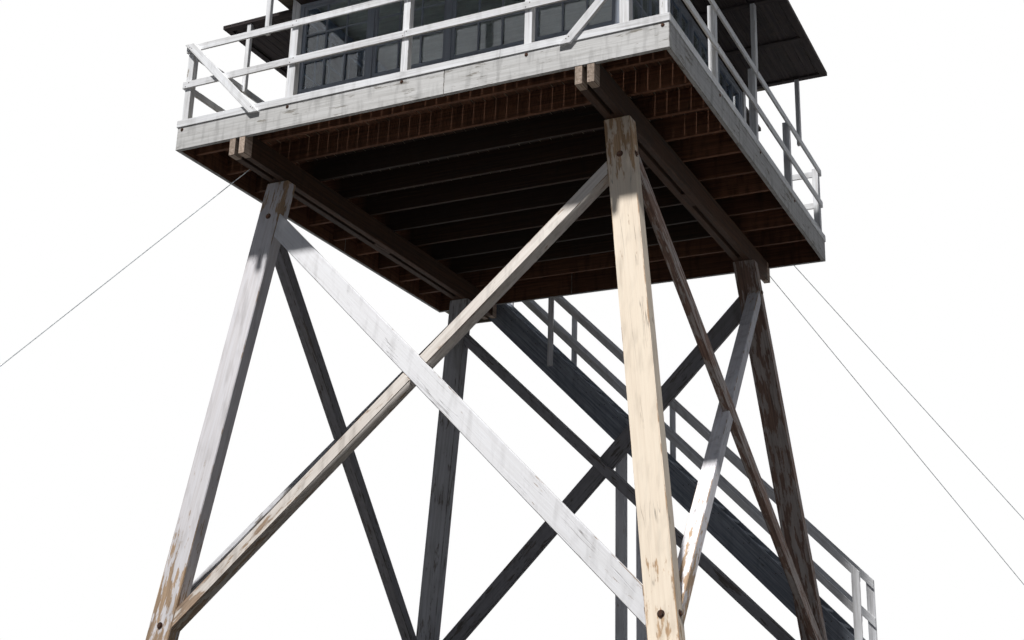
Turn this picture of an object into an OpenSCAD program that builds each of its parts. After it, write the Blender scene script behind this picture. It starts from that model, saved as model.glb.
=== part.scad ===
// Timber fire lookout tower: a glazed cab on a railed platform, four splayed legs with one tier of
// crossed braces a side, an outside stair and taut wire guys. Millimetres, Z up, ground at Z = 0,
// origin at the middle of the four legs. The front faces -Y.

/* [Platform] */
// Height of the walkway above the ground
deck_z = 6600; // [6000:100:7200]
// Length of the platform along its front
deck_l = 6400; // [6000:50:6800]
// Depth of the platform from front to rear
deck_w = 6730; // [6400:10:7000]
// Thickness of the deck boards
board_t = 40; // [25:5:50]
// Height of the rim boards
rim_h = 360; // [320:10:400]
// Thickness of the rim boards
rim_t = 50; // [40:5:75]
// Height of the floor joists
joist_h = 290; // [240:10:300]
// Thickness of the floor joists
joist_t = 50; // [40:5:75]
// Spacing of the floor joists
joist_gap = 625; // [500:25:700]
// Distance of the first joist from the front edge
joist_first = 340; // [200:10:450]

/* [Girders] */
// Height of the two girders
girder_h = 290; // [240:10:320]
// Thickness of each timber in a girder
girder_t = 90; // [75:5:110]
// Gap between the two timbers of a girder
girder_gap = 50; // [30:5:80]
// Length of the packing blocks in that gap
pack_l = 400; // [200:50:600]
// Shift of a girder's middle outwards from the centres of the leg heads
girder_shift = 10; // [0:5:20]

/* [Legs] */
// Width of a leg along the front
leg_w = 310; // [280:5:340]
// Thickness of a leg from front to rear
leg_t = 180; // [160:5:220]
// Half the spacing of the leg heads along the front, at the rim's underside
head_x = 2245; // [2150:5:2300]
// Half the spacing of the leg heads from front to rear
head_y = 2385; // [2250:5:2500]
// Half the spacing of the leg feet, both ways
foot_xy = 2985; // [2800:5:3100]
// Width of a footing pad
footing_l = 500; // [450:10:700]
// Height of a footing pad
footing_h = 120; // [80:10:200]

/* [Bracing] */
// Drop of the braces' upper ends below the rim's underside
brace_drop = 700; // [600:10:900]
// Height of the braces' lower ends above the ground
brace_foot = 400; // [350:10:700]
// Width of the outer brace of each side
outer_w = 250; // [200:10:280]
// Thickness of the outer brace
outer_t = 85; // [60:5:90]
// Width of the inner brace of each side
inner_w = 140; // [120:5:200]
// Thickness of the inner brace
inner_t = 170; // [120:5:175]
// Set-back of the braces from the outer faces of the legs
brace_inset = 5; // [4:1:10]

/* [Cab] */
// Outside width of the square cab
cab_l = 4700; // [4400:50:4900]
// Thickness of the cab walls
wall_t = 100; // [80:5:140]
// Height of the boarded wall under the windows
sill_h = 600; // [500:10:800]
// Height of the walls and windows together
cab_h = 2150; // [2000:10:2400]
// Width of a corner post
corner_w = 120; // [100:5:160]
// Stand-out of the corner posts from the wall faces
corner_out = 20; // [10:5:30]
// Number of windows in a side
window_n = 4; // [3:1:5]
// Width of the sill and jambs of a window row
frame_w = 60; // [40:5:90]
// Height of the head over the windows
head_h = 210; // [170:10:240]
// Width of the posts between the windows
mullion_w = 70; // [50:5:100]
// Depth of the posts between the windows
mullion_t = 45; // [30:5:60]
// Stand-out of the window sill
sill_out = 40; // [20:5:60]
// Height of the window sill's nose
sill_t = 35; // [20:5:50]
// Thickness of the window glass
glass_t = 6; // [4:1:8]
// Thickness of the cab's own floor
floor_t = 20; // [15:5:30]
// Thickness of the ceiling
ceiling_t = 30; // [15:5:40]

/* [Door] */
// Width of the doorway
door_w = 900; // [800:10:950]
// Height of the frame over the doorway
door_head = 170; // [120:10:240]
// Thickness of the door
door_t = 45; // [35:5:60]
// Gap beside, over and under the door
door_gap = 4; // [3:1:8]
// Width of the frame around the door's pane
door_stile = 130; // [100:10:180]
// Height of the solid lower part of the door
door_panel_h = 950; // [800:10:1100]

/* [Roof] */
// Stand-out of the eaves from the cab walls
eave_out = 300; // [200:10:400]
// Slope of the roof in degrees
roof_slope = 22; // [15:1:30]
// Height of the fascia
fascia_h = 90; // [60:5:140]
// Height of the roof's skin, measured straight down
roof_t = 80; // [50:5:110]

/* [Shutters] */
// Reach of a propped shutter from the wall
shutter_out = 1250; // [1150:10:1350]
// Drop of a propped shutter's underside below the top of the walls
shutter_drop = 150; // [100:10:180]
// Thickness of a shutter's boards
shutter_t = 30; // [20:5:40]
// Width of a shutter's battens
batten_w = 90; // [60:5:120]
// Thickness of a shutter's battens
batten_t = 25; // [15:5:35]
// Width of the end props
prop_w = 60; // [40:5:80]
// Width of the middle prop
prop_mid_w = 90; // [60:5:110]
// Shift of the front and rear end props from a shutter's end battens towards the middle
prop_in = 225; // [210:5:300]

/* [Railings] */
// Height of the top rail's upper edge over the walkway
rail_h = 1041; // [950:1:1100]
// Height of the middle rail's centre over the walkway
rail_mid = 490; // [400:10:560]
// Width of a rail board
rail_w = 94; // [80:1:110]
// Thickness of a rail board
rail_t = 25; // [20:1:30]
// Width of a railing post
post_w = 90; // [70:5:100]
// Number of bays in a railing
bay_n = 4; // [4:2:6]
// Width of the slanting boards in the front railing
slant_w = 100; // [80:5:120]
// Thickness of the slanting boards
slant_t = 40; // [20:5:50]
// Length along the front that a slanting board covers
slant_run = 1100; // [900:10:1250]
// Lap of a slanting board's foot over the rim
slant_lap = 120; // [80:10:200]

/* [Stair] */
// Number of risers
riser_n = 30; // [28:1:32]
// Going of each step
going = 220; // [210:5:240]
// Overall width of the flight
stair_w = 900; // [800:10:1000]
// Clearance between the platform and the flight
stair_gap = 35; // [30:5:60]
// Thickness of a stringer
stringer_t = 50; // [40:5:75]
// Depth of a stringer, measured straight down
stringer_v = 500; // [400:10:560]
// Thickness of a tread
tread_t = 40; // [30:5:50]
// Depth of a tread
tread_d = 200; // [180:5:205]
// Set-back of a tread's edge from the stringer's upper edge
tread_in = 10; // [5:1:15]
// Length of the landing at the stair head
landing_l = 800; // [750:10:900]
// Height of the stair's hand rail over the line of the treads, to the rail's centre
stair_rail_h = 900; // [800:10:1000]
// Height of the stair's middle rail over the same line
stair_mid_h = 370; // [300:10:450]
// Width of the newel at the foot of the hand rail
newel_w = 110; // [90:5:140]
// Distance of the newel from the foot of the stair
newel_at = 815; // [600:5:1000]
// Distance of the upper rail posts from the stair head
upper_post_at = 1220; // [1000:20:1500]
// Distance of the lower rail posts from the stair head
lower_post_at = 2900; // [2700:20:4000]
// Lap of the rail posts down the stringers
post_lap = 300; // [200:10:380]
// Distance of the posts under the flight from the stair head
bent_at = 2400; // [1800:50:2600]
// Width of the posts under the flight
bent_w = 140; // [100:5:180]

/* [Guys] */
// Diameter of the guy wires
guy_d = 12; // [10:1:16]
// Distance of the front guy's head from the middle, front to rear
guy_head_y = 2800; // [2600:20:3000]
// Distance of the rear rim's guy from the middle, along the front
guy_head_x = 2700; // [2600:20:2900]
// Set of the guys' heads above or below the rim's underside
guy_set = 50; // [30:5:100]
// Distance of the anchors from the middle, along the front
anchor_x = 7200; // [6800:50:7600]
// Distance of the anchors from the middle, front to rear
anchor_y = 5900; // [5600:50:6200]
// Shift of the second rear anchor towards the tower
anchor_step = 850; // [600:50:1000]
// Width of an anchor block
anchor_w = 300; // [250:10:400]
// Height of an anchor block
anchor_h = 150; // [100:10:200]
// Height of the plate on an anchor block
lug_h = 120; // [90:5:150]
// Thickness of that plate
lug_t = 20; // [18:1:30]
// Width of that plate
lug_w = 80; // [60:5:100]

/* [Hidden] */

$fn = 24;
far = 3 * leg_w;                             // reach of a cutting body past what it cuts
old_wood = [0.80, 0.74, 0.64];
dark_wood = [0.36, 0.29, 0.22];
white_paint = [0.90, 0.90, 0.88];
slate_paint = [0.33, 0.36, 0.41];
concrete = [0.66, 0.64, 0.60];
steel = [0.42, 0.43, 0.44];

// Levels
rim_z = deck_z - board_t - rim_h;            // underside of the rim, where leg spacings are set
joist_z = deck_z - board_t - joist_h;        // underside of the joists, on the girders
leg_top = joist_z - girder_h;
plate_z = deck_z + cab_h;                    // top of the cab walls
sill_z = deck_z + sill_h;
glass_zs = [sill_z + frame_w, plate_z - head_h];
rail_z = deck_z + rail_h;
shut_z = plate_z - shutter_drop;

// Plan
half_l = deck_l / 2;
half_w = deck_w / 2;
half_cab = cab_l / 2;
wall_end = half_cab + corner_out - corner_w; // half the length of a wall between corner posts
room = half_cab - wall_t;                    // half the inside width of the cab
bay = 2 * wall_end / window_n;               // width of one window
door_bay = door_w + 2 * frame_w;             // the doorway with its jambs
door_u = wall_end - frame_w - door_w;        // hinge side of the doorway, in the rear's frame
door_top = plate_z - door_head;
shutter_edge = wall_end - batten_w / 2;      // middle of a shutter's end batten
corner_u = half_l - rail_t - post_w / 2;     // middle of a corner post of the railings
corner_v = half_w - rail_t - post_w / 2;

// Splay of the legs
leg_run = rim_z - footing_h;
slope_x = (foot_xy - head_x) / leg_run;
slope_y = (foot_xy - head_y) / leg_run;
turn_y = -atan(slope_x);
turn_x = atan(slope_y * cos(turn_y));
brace_low = rim_z - brace_foot;
girder_x = head_x + girder_shift;
girder_w = 2 * girder_t + girder_gap;

// Stair
stair_x = -half_l + landing_l;               // head of the flight
stair_y = half_w + stair_gap;                // inner face of the flight
stair_y1 = stair_y + stair_w;
stair_foot = stair_x + riser_n * going;
stair_run = riser_n * going;
pitch = deck_z / stair_run;                  // fall over run
newel_x = stair_foot - newel_at;
rail_stop = newel_x + newel_w / 2;
rail_v = rail_w * norm([1, pitch]);          // a sloping rail board, measured straight down

// Height of the line of the treads over a place along the flight
function nose_z(x) = deck_z - pitch * (x - stair_x);

// Turns a piece made for the front to another side: 0 front, 1 right, 2 rear, 3 left
module side(n) {
    rotate([0, 0, 90 * n]) children();
}

// A block between two corners
module block(a, b) {
    translate(a) cube(b - a);
}

// A round bar between two points
module rod(a, b, d) {
    run = b - a;
    flat = norm([run.x, run.y]);
    translate(a) rotate([0, atan2(flat, run.z), atan2(run.y, run.x)]) cylinder(h = norm(run), d = d);
}

// An outline drawn in X and Z, given a thickness from y on
module upright(y, t) {
    translate([0, y + t, 0]) rotate([90, 0, 0]) linear_extrude(height = t) children();
}

// A block in the slanting frame of the rear right leg, measured from its centre line
module leg_block(x0, x1, y0, y1) {
    translate([head_x, head_y, rim_z]) rotate([turn_x, turn_y, 0])
        block([x0, y0, -1.2 * leg_run], [x1, y1, 0.3 * leg_run]);
}

module leg(flip_x, flip_y) {
    reach = 2 * foot_xy;
    color(old_wood)
        mirror([flip_x, 0, 0]) mirror([0, flip_y, 0]) intersection() {
            leg_block(-leg_w / 2, leg_w / 2, -leg_t / 2, leg_t / 2);
            block([0, 0, footing_h], [reach, reach, leg_top]);
        }
}

module leg_front_left() {
    leg(1, 1);
}

module leg_front_right() {
    leg(0, 1);
}

module leg_rear_right() {
    leg(0, 0);
}

module leg_rear_left() {
    leg(1, 0);
}

module leg_footings() {
    color(concrete)
        for (x = [-foot_xy, foot_xy], y = [-foot_xy, foot_xy])
            translate([x - footing_l / 2, y - footing_l / 2, 0]) cube([footing_l, footing_l, footing_h]);
}

// One bar of a crossed pair, drawn on the slanting plane through two legs' centre lines.
// fall is 1 for the bar that falls to the right as seen from outside, -1 for the other.
module bar(out, out_slope, in, in_slope, fall, w, t, face) {
    tilt = atan(out_slope);
    low_drop = rim_z - brace_foot;
    top = [-fall * (in + in_slope * brace_drop), -brace_drop / cos(tilt)];
    low = [fall * (in + in_slope * low_drop), -low_drop / cos(tilt)];
    run = low - top;
    translate([0, -out, rim_z]) rotate([90 - tilt, 0, 0]) translate([0, 0, face - t])
        linear_extrude(height = t)
            translate(top) rotate(atan2(run.y, run.x))
                translate([-leg_w, -w / 2]) square([norm(run) + 2 * leg_w, w]);
}

module side_bar(n, fall, w, t) {
    side(n)
        if (n % 2 == 0)
            bar(head_y, slope_y, head_x, slope_x, fall, w, t, leg_t / 2 - brace_inset);
        else
            bar(head_x, slope_x, head_y, slope_y, fall, w, t, leg_w / 2 - brace_inset);
}

// Everything from the inner faces of a side's two legs outwards
module leg_faces(n) {
    for (m = [0, 1])
        if (n % 2 == 0)
            mirror([m, 0, 0]) mirror([0, 1 - n / 2, 0]) leg_block(-leg_w / 2, far, -far, far);
        else
            mirror([(n - 1) / 2, 0, 0]) mirror([0, m, 0]) leg_block(-far, far, -leg_t / 2, far);
}

module outer_brace(n) {
    color(old_wood)
        difference() {
            side_bar(n, 1, outer_w, outer_t);
            leg_faces(n);
        }
}

// The inner brace is housed behind the outer one where they cross
module inner_brace(n) {
    color(old_wood)
        difference() {
            side_bar(n, -1, inner_w, inner_t);
            side_bar(n, 1, outer_w, outer_t);
            leg_faces(n);
        }
}

module front_outer_brace() {
    outer_brace(0);
}

module front_inner_brace() {
    inner_brace(0);
}

module right_outer_brace() {
    outer_brace(1);
}

module right_inner_brace() {
    inner_brace(1);
}

module rear_outer_brace() {
    outer_brace(2);
}

module rear_inner_brace() {
    inner_brace(2);
}

module left_outer_brace() {
    outer_brace(3);
}

module left_inner_brace() {
    inner_brace(3);
}

module rim_pair() {
    for (y = [-half_w, half_w - rim_t])
        block([-half_l, y, rim_z], [half_l, y + rim_t, rim_z + rim_h]);
}

// Two timbers a side with packing between them; their ends are stepped down under the rim
module girders() {
    color(old_wood)
        difference() {
            for (x = [-girder_x - girder_w / 2, girder_x - girder_w / 2]) {
                for (e = [0, girder_t + girder_gap])
                    block([x + e, -half_w, leg_top], [x + e + girder_t, half_w, joist_z]);
                for (y = [-head_y, 0, head_y])
                    block([x + girder_t, y - pack_l / 2, leg_top],
                        [x + girder_t + girder_gap, y + pack_l / 2, joist_z]);
            }
            rim_pair();
        }
}

module floor_joists() {
    reach = half_l - rim_t;
    color(dark_wood)
        for (y = [-half_w + joist_first:joist_gap:half_w - rim_t - 2 * joist_t])
            block([-reach, y - joist_t / 2, joist_z], [reach, y + joist_t / 2, joist_z + joist_h]);
}

module end_rims() {
    color(white_paint) rim_pair();
}

module side_rims() {
    color(white_paint)
        for (x = [-half_l, half_l - rim_t])
            block([x, -half_w + rim_t, rim_z], [x + rim_t, half_w - rim_t, rim_z + rim_h]);
}

module walkway_deck() {
    color(old_wood) block([-half_l, -half_w, deck_z - board_t], [half_l, half_w, deck_z]);
}

module cab_floor() {
    color(old_wood) block([-room, -room, deck_z], [room, room, deck_z + floor_t]);
}

// A block of a cab wall in the front's frame: u along the wall, depth from its outer face
module wall_block(u, depth, z) {
    block([u[0], depth[0] - half_cab, z[0]], [u[1], depth[1] - half_cab, z[1]]);
}

module low_wall(n, stop) {
    color(slate_paint) side(n) wall_block([-wall_end, stop], [0, wall_t], [deck_z, sill_z]);
}

module front_wall() {
    low_wall(0, wall_end);
}

module right_wall() {
    low_wall(1, wall_end);
}

// Stops at the doorway, in the rear side's last bay
module rear_wall() {
    low_wall(2, wall_end - door_bay);
}

module left_wall() {
    low_wall(3, wall_end);
}

module corner_posts() {
    out = half_cab + corner_out;
    color(white_paint)
        for (x = [-out, out - corner_w], y = [-out, out - corner_w])
            block([x, y, deck_z], [x + corner_w, y + corner_w, plate_z]);
}

// A row of windows: sill, jambs, head and the posts between the panes
module window_row(n, stop) {
    panes = round((stop + wall_end) / bay);
    step = (stop + wall_end) / panes;
    color(white_paint)
        side(n) {
            difference() {
                wall_block([-wall_end, stop], [0, wall_t], [sill_z, plate_z]);
                wall_block([-wall_end + frame_w, stop - frame_w], [-far, far], glass_zs);
            }
            for (i = [1:panes - 1]) {
                u = -wall_end + i * step - mullion_w / 2;
                wall_block([u, u + mullion_w], [0, mullion_t], glass_zs);
            }
            wall_block([-wall_end, stop], [-sill_out, 0], [sill_z, sill_z + sill_t]);
        }
}

module front_windows() {
    window_row(0, wall_end);
}

module right_windows() {
    window_row(1, wall_end);
}

module rear_windows() {
    window_row(2, wall_end - door_bay);
}

module left_windows() {
    window_row(3, wall_end);
}

// The glazed part of the door, over a stretch of its depth
module door_light(depth) {
    wall_block([door_u + door_stile, door_u + door_w - door_gap - door_stile], depth,
        [deck_z + door_panel_h, door_top - door_gap - door_stile]);
}

// One sheet behind the posts of each row, and the pane in the door
module window_glass() {
    color([0.75, 0.82, 0.85, 0.4]) {
        for (n = [0:3])
            side(n)
                wall_block([-wall_end + frame_w, wall_end - frame_w - (n == 2 ? door_bay : 0)],
                    [mullion_t, mullion_t + glass_t], glass_zs);
        side(2) door_light([(wall_t - glass_t) / 2, (wall_t + glass_t) / 2]);
    }
}

module door_frame() {
    color(white_paint)
        side(2) difference() {
            wall_block([wall_end - door_bay, wall_end], [0, wall_t], [deck_z, plate_z]);
            wall_block([door_u, door_u + door_w], [-far, far], [deck_z - far, door_top]);
        }
}

// Shut, and hung on the jamb towards the middle of the wall
module door() {
    color(slate_paint)
        side(2) difference() {
            wall_block([door_u, door_u + door_w - door_gap], [(wall_t - door_t) / 2, (wall_t + door_t) / 2],
                [deck_z + door_gap, door_top - door_gap]);
            door_light([-far, far]);
        }
}

module ceiling() {
    color(white_paint) block([-room, -room, plate_z - ceiling_t], [room, room, plate_z]);
}

// A ridged block over a square: upright edges, then two slopes that meet in the middle
module ridged(half, edge, under) {
    rotate([90, 0, 0]) linear_extrude(height = 2 * half, center = true)
        polygon([[-half, -under], [half, -under], [half, edge], [0, edge + half * tan(roof_slope)],
            [-half, edge]]);
}

// The same with four slopes
module hipped(half, edge, under) {
    translate([0, 0, plate_z]) intersection() {
        ridged(half, edge, under);
        rotate([0, 0, 90]) ridged(half, edge, under);
    }
}

module roof() {
    eave = half_cab + eave_out;
    inner_edge = fascia_h + (eave - room) * tan(roof_slope) - roof_t;
    color(dark_wood)
        difference() {
            hipped(eave, fascia_h, 0);
            hipped(room, inner_edge, far);
        }
}

// Boards over a frame of battens, propped level against the window head
module shutters() {
    step = (2 * wall_end - batten_w) / window_n;
    color(dark_wood)
        for (n = [0:3])
            side(n) {
                wall_block([-wall_end, wall_end], [-shutter_out, 0], [shut_z, shut_z + shutter_t]);
                for (d = [-shutter_out, -batten_w])
                    wall_block([-wall_end, wall_end], [d, d + batten_w], [shut_z - batten_t, shut_z]);
                for (i = [0:window_n])
                    wall_block([i * step - wall_end, i * step - wall_end + batten_w], [-shutter_out, 0],
                        [shut_z - batten_t, shut_z]);
            }
}

// A prop from the top rail to a shutter
module prop(u, out, w, top) {
    block([u - w / 2, -out, rail_z], [u + w / 2, prop_w - out, top]);
}

// An end prop laps down behind the rail. At the front and rear it meets the boards beside the end
// batten; the others stand under battens wherever there is one.
module shutter_props() {
    color(white_paint)
        for (n = [0:3])
            side(n) {
                long = n % 2 == 0;
                out = long ? half_w : half_l;
                u_end = shutter_edge - (long ? prop_in : 0);
                for (u = [-u_end, u_end]) {
                    prop(u, out, prop_w, long ? shut_z : shut_z - batten_t);
                    block([u - prop_w / 2, rail_t - out, rail_z - rail_w],
                        [u + prop_w / 2, prop_w - out, rail_z]);
                }
                prop(0, out, prop_mid_w, shut_z - (window_n % 2 == 0 ? batten_t : 0));
            }
}

// Two rail boards on the outer faces of their posts, in the front's frame
module railing(out, start, stop, posts) {
    for (z = [rail_z - rail_w, deck_z + rail_mid - rail_w / 2])
        block([start, -out, z], [stop, rail_t - out, z + rail_w]);
    for (u = posts)
        block([u - post_w / 2, rail_t - out, deck_z], [u + post_w / 2, rail_t + post_w - out, rail_z]);
}

// A board across the end bay, from the corner's top down over the rim
module slanting_board() {
    drop = rail_h + slant_lap;
    across = slant_w * norm([slant_run, drop]) / drop;
    upright(-half_w - slant_t, slant_t)
        polygon([[-half_l, rail_z], [across - half_l, rail_z],
            [slant_run + across - half_l, rail_z - drop], [slant_run - half_l, rail_z - drop]]);
}

module front_railing() {
    color(white_paint) {
        railing(half_w, -half_l, half_l, [for (i = [0:bay_n]) corner_u * (2 * i / bay_n - 1)]);
        for (m = [0, 1])
            mirror([m, 0, 0]) slanting_board();
    }
}

module right_railing() {
    end = half_w - rail_t;
    color(white_paint)
        side(1) railing(half_l, -end, end, [for (i = [1:bay_n - 1]) corner_v * (2 * i / bay_n - 1)]);
}

// Open at the stair head
module rear_railing() {
    color(white_paint)
        side(2) railing(half_w, -half_l, -stair_x,
            [for (i = [0:bay_n - 1]) corner_u * (2 * i / bay_n - 1), -stair_x - post_w / 2]);
}

module left_railing() {
    color(white_paint)
        side(3) railing(half_l, -half_w, half_w - rail_t,
            [for (i = [0:bay_n - 1]) corner_v * (2 * i / bay_n - 1)]);
}

// Boards on a frame that hangs on the rear rim beside the head of the flight
module stair_landing() {
    color(old_wood) {
        block([-half_l, half_w, deck_z - board_t], [stair_x, stair_y1, deck_z]);
        difference() {
            block([-half_l, half_w, joist_z], [stair_x, stair_y1, deck_z - board_t]);
            block([rim_t - half_l, half_w + rim_t, joist_z - far],
                [stair_x - rim_t, stair_y1 - rim_t, deck_z - board_t]);
        }
    }
}

module landing_side_railing() {
    color(white_paint)
        for (z = [rail_z - rail_w, deck_z + rail_mid - rail_w / 2])
            block([-half_l, half_w, z], [rail_t - half_l, stair_y1 - rail_t, z + rail_w]);
}

module landing_rear_railing() {
    color(white_paint) side(2) railing(stair_y1, -stair_x, half_l, [corner_u]);
}

module stair_stringers() {
    color(old_wood)
        for (y = [stair_y, stair_y1 - stringer_t])
            upright(y, stringer_t)
                polygon([[stair_x, deck_z], [stair_foot, 0], [stair_foot - stringer_v / pitch, 0],
                    [stair_x, deck_z - stringer_v]]);
}

// Open treads between the stringers
module stair_treads() {
    rise = deck_z / riser_n;
    color(old_wood)
        for (i = [1:riser_n - 1]) {
            x = stair_x + i * going - tread_in;
            block([x - tread_d, stair_y + stringer_t, deck_z - i * rise - tread_t],
                [x, stair_y1 - stringer_t, deck_z - i * rise]);
        }
}

// A rail post on the outer face of a stringer, its top cut along the hand rail
module stair_post(x, w, foot) {
    top = stair_rail_h + rail_v / 2;
    polygon([[x - w / 2, foot], [x + w / 2, foot], [x + w / 2, nose_z(x + w / 2) + top],
        [x - w / 2, nose_z(x - w / 2) + top]]);
}

module stair_rail(post_y, board_y) {
    for (h = [stair_mid_h, stair_rail_h]) {
        low = h - rail_v / 2;
        high = h + rail_v / 2;
        upright(board_y, rail_t)
            polygon([[stair_x, nose_z(stair_x) + low], [rail_stop, nose_z(rail_stop) + low],
                [rail_stop, nose_z(rail_stop) + high], [stair_x, nose_z(stair_x) + high]]);
    }
    upright(post_y, stair_gap) {
        for (x = [post_w / 2, upper_post_at, lower_post_at])
            stair_post(stair_x + x, post_w, nose_z(stair_x + x) - post_lap);
        stair_post(newel_x, newel_w, 0);
    }
}

module stair_rails() {
    color(white_paint) {
        stair_rail(half_w, stair_y);
        stair_rail(stair_y1, stair_y1 - rail_t);
    }
}

// Two posts under the flight, cut to the slope of the stringers
module stair_posts() {
    x = stair_x + bent_at;
    color(old_wood)
        for (y = [stair_y, stair_y1 - stringer_t])
            upright(y + (stringer_t - bent_w) / 2, bent_w)
                polygon([[x - bent_w / 2, 0], [x + bent_w / 2, 0],
                    [x + bent_w / 2, nose_z(x + bent_w / 2) - stringer_v],
                    [x - bent_w / 2, nose_z(x - bent_w / 2) - stringer_v]]);
}

// The plates' middles, where the wires end
anchors = [[-anchor_x, -anchor_y], [anchor_x, anchor_y], [anchor_x - anchor_step, anchor_y]];
// Where the wires leave the tower: a girder's side, the rear rim and a girder's end
guy_heads = [[-girder_x - girder_w / 2, -guy_head_y, joist_z - girder_h / 2],
    [guy_head_x, half_w, rim_z + guy_set],
    [girder_x + (girder_w - girder_t) / 2, half_w, rim_z - guy_set]];

module anchor_plate(i) {
    run = guy_heads[i] - [anchors[i].x, anchors[i].y, 0];
    translate([anchors[i].x, anchors[i].y, anchor_h]) rotate([0, 0, atan2(run.y, run.x)])
        block([-lug_w / 2, -lug_t / 2, 0], [lug_w / 2, lug_t / 2, lug_h]);
}

module guy_anchors() {
    for (i = [0:2]) {
        color(concrete)
            translate([anchors[i].x - anchor_w / 2, anchors[i].y - anchor_w / 2, 0])
                cube([anchor_w, anchor_w, anchor_h]);
        color(steel) anchor_plate(i);
    }
}

// Taut wires, butted on the timbers and on the anchors' plates
module guy_wires() {
    color(steel)
        difference() {
            for (i = [0:2]) {
                low = [anchors[i].x, anchors[i].y, anchor_h + lug_h / 2];
                run = guy_heads[i] - low;
                rod(low, guy_heads[i] + run * (rim_t / 2) / norm(run), guy_d);
            }
            for (i = [0:2])
                anchor_plate(i);
            block([-girder_x - girder_w / 2, -half_w, leg_top], [-girder_x, half_w, joist_z]);
            block([-half_l, half_w - rim_t, leg_top], [half_l, half_w, deck_z]);
        }
}

leg_front_left();
leg_front_right();
leg_rear_right();
leg_rear_left();
leg_footings();
front_outer_brace();
front_inner_brace();
right_outer_brace();
right_inner_brace();
rear_outer_brace();
rear_inner_brace();
left_outer_brace();
left_inner_brace();
girders();
floor_joists();
end_rims();
side_rims();
walkway_deck();
cab_floor();
front_wall();
right_wall();
rear_wall();
left_wall();
corner_posts();
front_windows();
right_windows();
rear_windows();
left_windows();
window_glass();
door_frame();
door();
ceiling();
roof();
shutters();
shutter_props();
front_railing();
right_railing();
rear_railing();
left_railing();
stair_landing();
landing_side_railing();
landing_rear_railing();
stair_stringers();
stair_treads();
stair_rails();
stair_posts();
guy_wires();
guy_anchors();
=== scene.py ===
# %% [markdown]
# A timber fire lookout tower, dressed for rendering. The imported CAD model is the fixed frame: every
# size below is read from its nodes, or is a board's real width. Blender gives what the solids leave
# plain: single boards, worn paint, shingles, window bars, bolts and twisted wire.

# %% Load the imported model
import math
import random

import bmesh
import bpy
from mathutils import Matrix, Vector, noise


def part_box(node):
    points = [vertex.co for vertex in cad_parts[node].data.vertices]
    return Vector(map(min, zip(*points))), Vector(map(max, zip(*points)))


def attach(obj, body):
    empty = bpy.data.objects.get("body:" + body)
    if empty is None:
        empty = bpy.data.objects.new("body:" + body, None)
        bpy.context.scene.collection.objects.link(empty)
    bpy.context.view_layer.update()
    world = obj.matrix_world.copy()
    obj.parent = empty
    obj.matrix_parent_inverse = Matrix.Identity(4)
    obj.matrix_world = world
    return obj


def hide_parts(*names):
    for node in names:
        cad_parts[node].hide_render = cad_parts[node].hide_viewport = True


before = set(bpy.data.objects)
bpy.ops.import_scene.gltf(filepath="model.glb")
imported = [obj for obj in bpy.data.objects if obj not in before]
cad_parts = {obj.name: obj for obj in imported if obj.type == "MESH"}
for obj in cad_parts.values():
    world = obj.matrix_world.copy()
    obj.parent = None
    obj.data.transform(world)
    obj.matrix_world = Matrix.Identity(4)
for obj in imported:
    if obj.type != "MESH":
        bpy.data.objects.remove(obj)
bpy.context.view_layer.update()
rng = random.Random(11)
noise.seed_set(11)

# %% [markdown]
# The eye stands below the foot of the tower, in front and to the right, and looks up. The place, the
# turn and the lens come from fitting the straight edges of the platform and legs in the photograph.

# %% Camera
EYE = Vector((7.291, -15.084, -0.847))
YAW = math.radians(26.378)
PITCH = math.radians(18.173)
ROLL = math.radians(1.563)

ahead = Vector((-math.sin(YAW) * math.cos(PITCH), math.cos(YAW) * math.cos(PITCH), math.sin(PITCH)))
level = Vector((math.cos(YAW), math.sin(YAW), 0))
upward = level.cross(ahead)
right = level * math.cos(ROLL) + upward * math.sin(ROLL)
top = upward * math.cos(ROLL) - level * math.sin(ROLL)
lens = bpy.data.cameras.new("camera")
lens.lens = 47.515
lens.sensor_width = 36
camera = bpy.data.objects.new("camera", lens)
bpy.context.scene.collection.objects.link(camera)
camera.matrix_world = Matrix.Translation(EYE) @ Matrix((right, top, -ahead)).transposed().to_4x4()
bpy.context.scene.camera = camera
print("eye at", EYE, "lens", lens.lens)

# %% [markdown]
# Levels and widths come from the boxes of the CAD nodes, so a change of the model moves the boards too.

# %% Levels and widths from the frame
half_l, half_w, deck_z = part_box("walkway_deck")[1]
deck_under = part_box("walkway_deck")[0].z
rim_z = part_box("end_rims")[0].z
joist_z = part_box("floor_joists")[0].z
leg_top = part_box("girders")[0].z
footing_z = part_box("leg_footings")[1].z
wall_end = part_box("front_wall")[1].x
wall_out = -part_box("front_wall")[0].y
wall_in = -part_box("front_wall")[1].y
sill_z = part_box("front_wall")[1].z
plate_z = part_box("front_windows")[1].z
rail_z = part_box("front_railing")[1].z
shutter_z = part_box("shutters")[0].z
shutter_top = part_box("shutters")[1].z
shutter_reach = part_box("shutters")[1].x
stair_low, stair_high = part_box("stair_stringers")
landing_low, landing_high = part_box("stair_landing")
QUARTER = math.pi / 2
print("walkway at", round(deck_z, 3), "m, walls to", round(plate_z, 3), "m")

# %% [markdown]
# Colours are written as the hex values a painter would pick, and Blender's shaders want linear ones.
# One small function adds a shader node with its settings and links; every material is built with it.

# %% Colour and node helpers
def linear(code):
    """A hex colour as the linear RGBA that shaders use."""
    parts = [int(code[i:i + 2], 16) / 255 for i in (1, 3, 5)]
    return tuple(c / 12.92 if c <= 0.04045 else ((c + 0.055) / 1.055) ** 2.4 for c in parts) + (1.0,)


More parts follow.
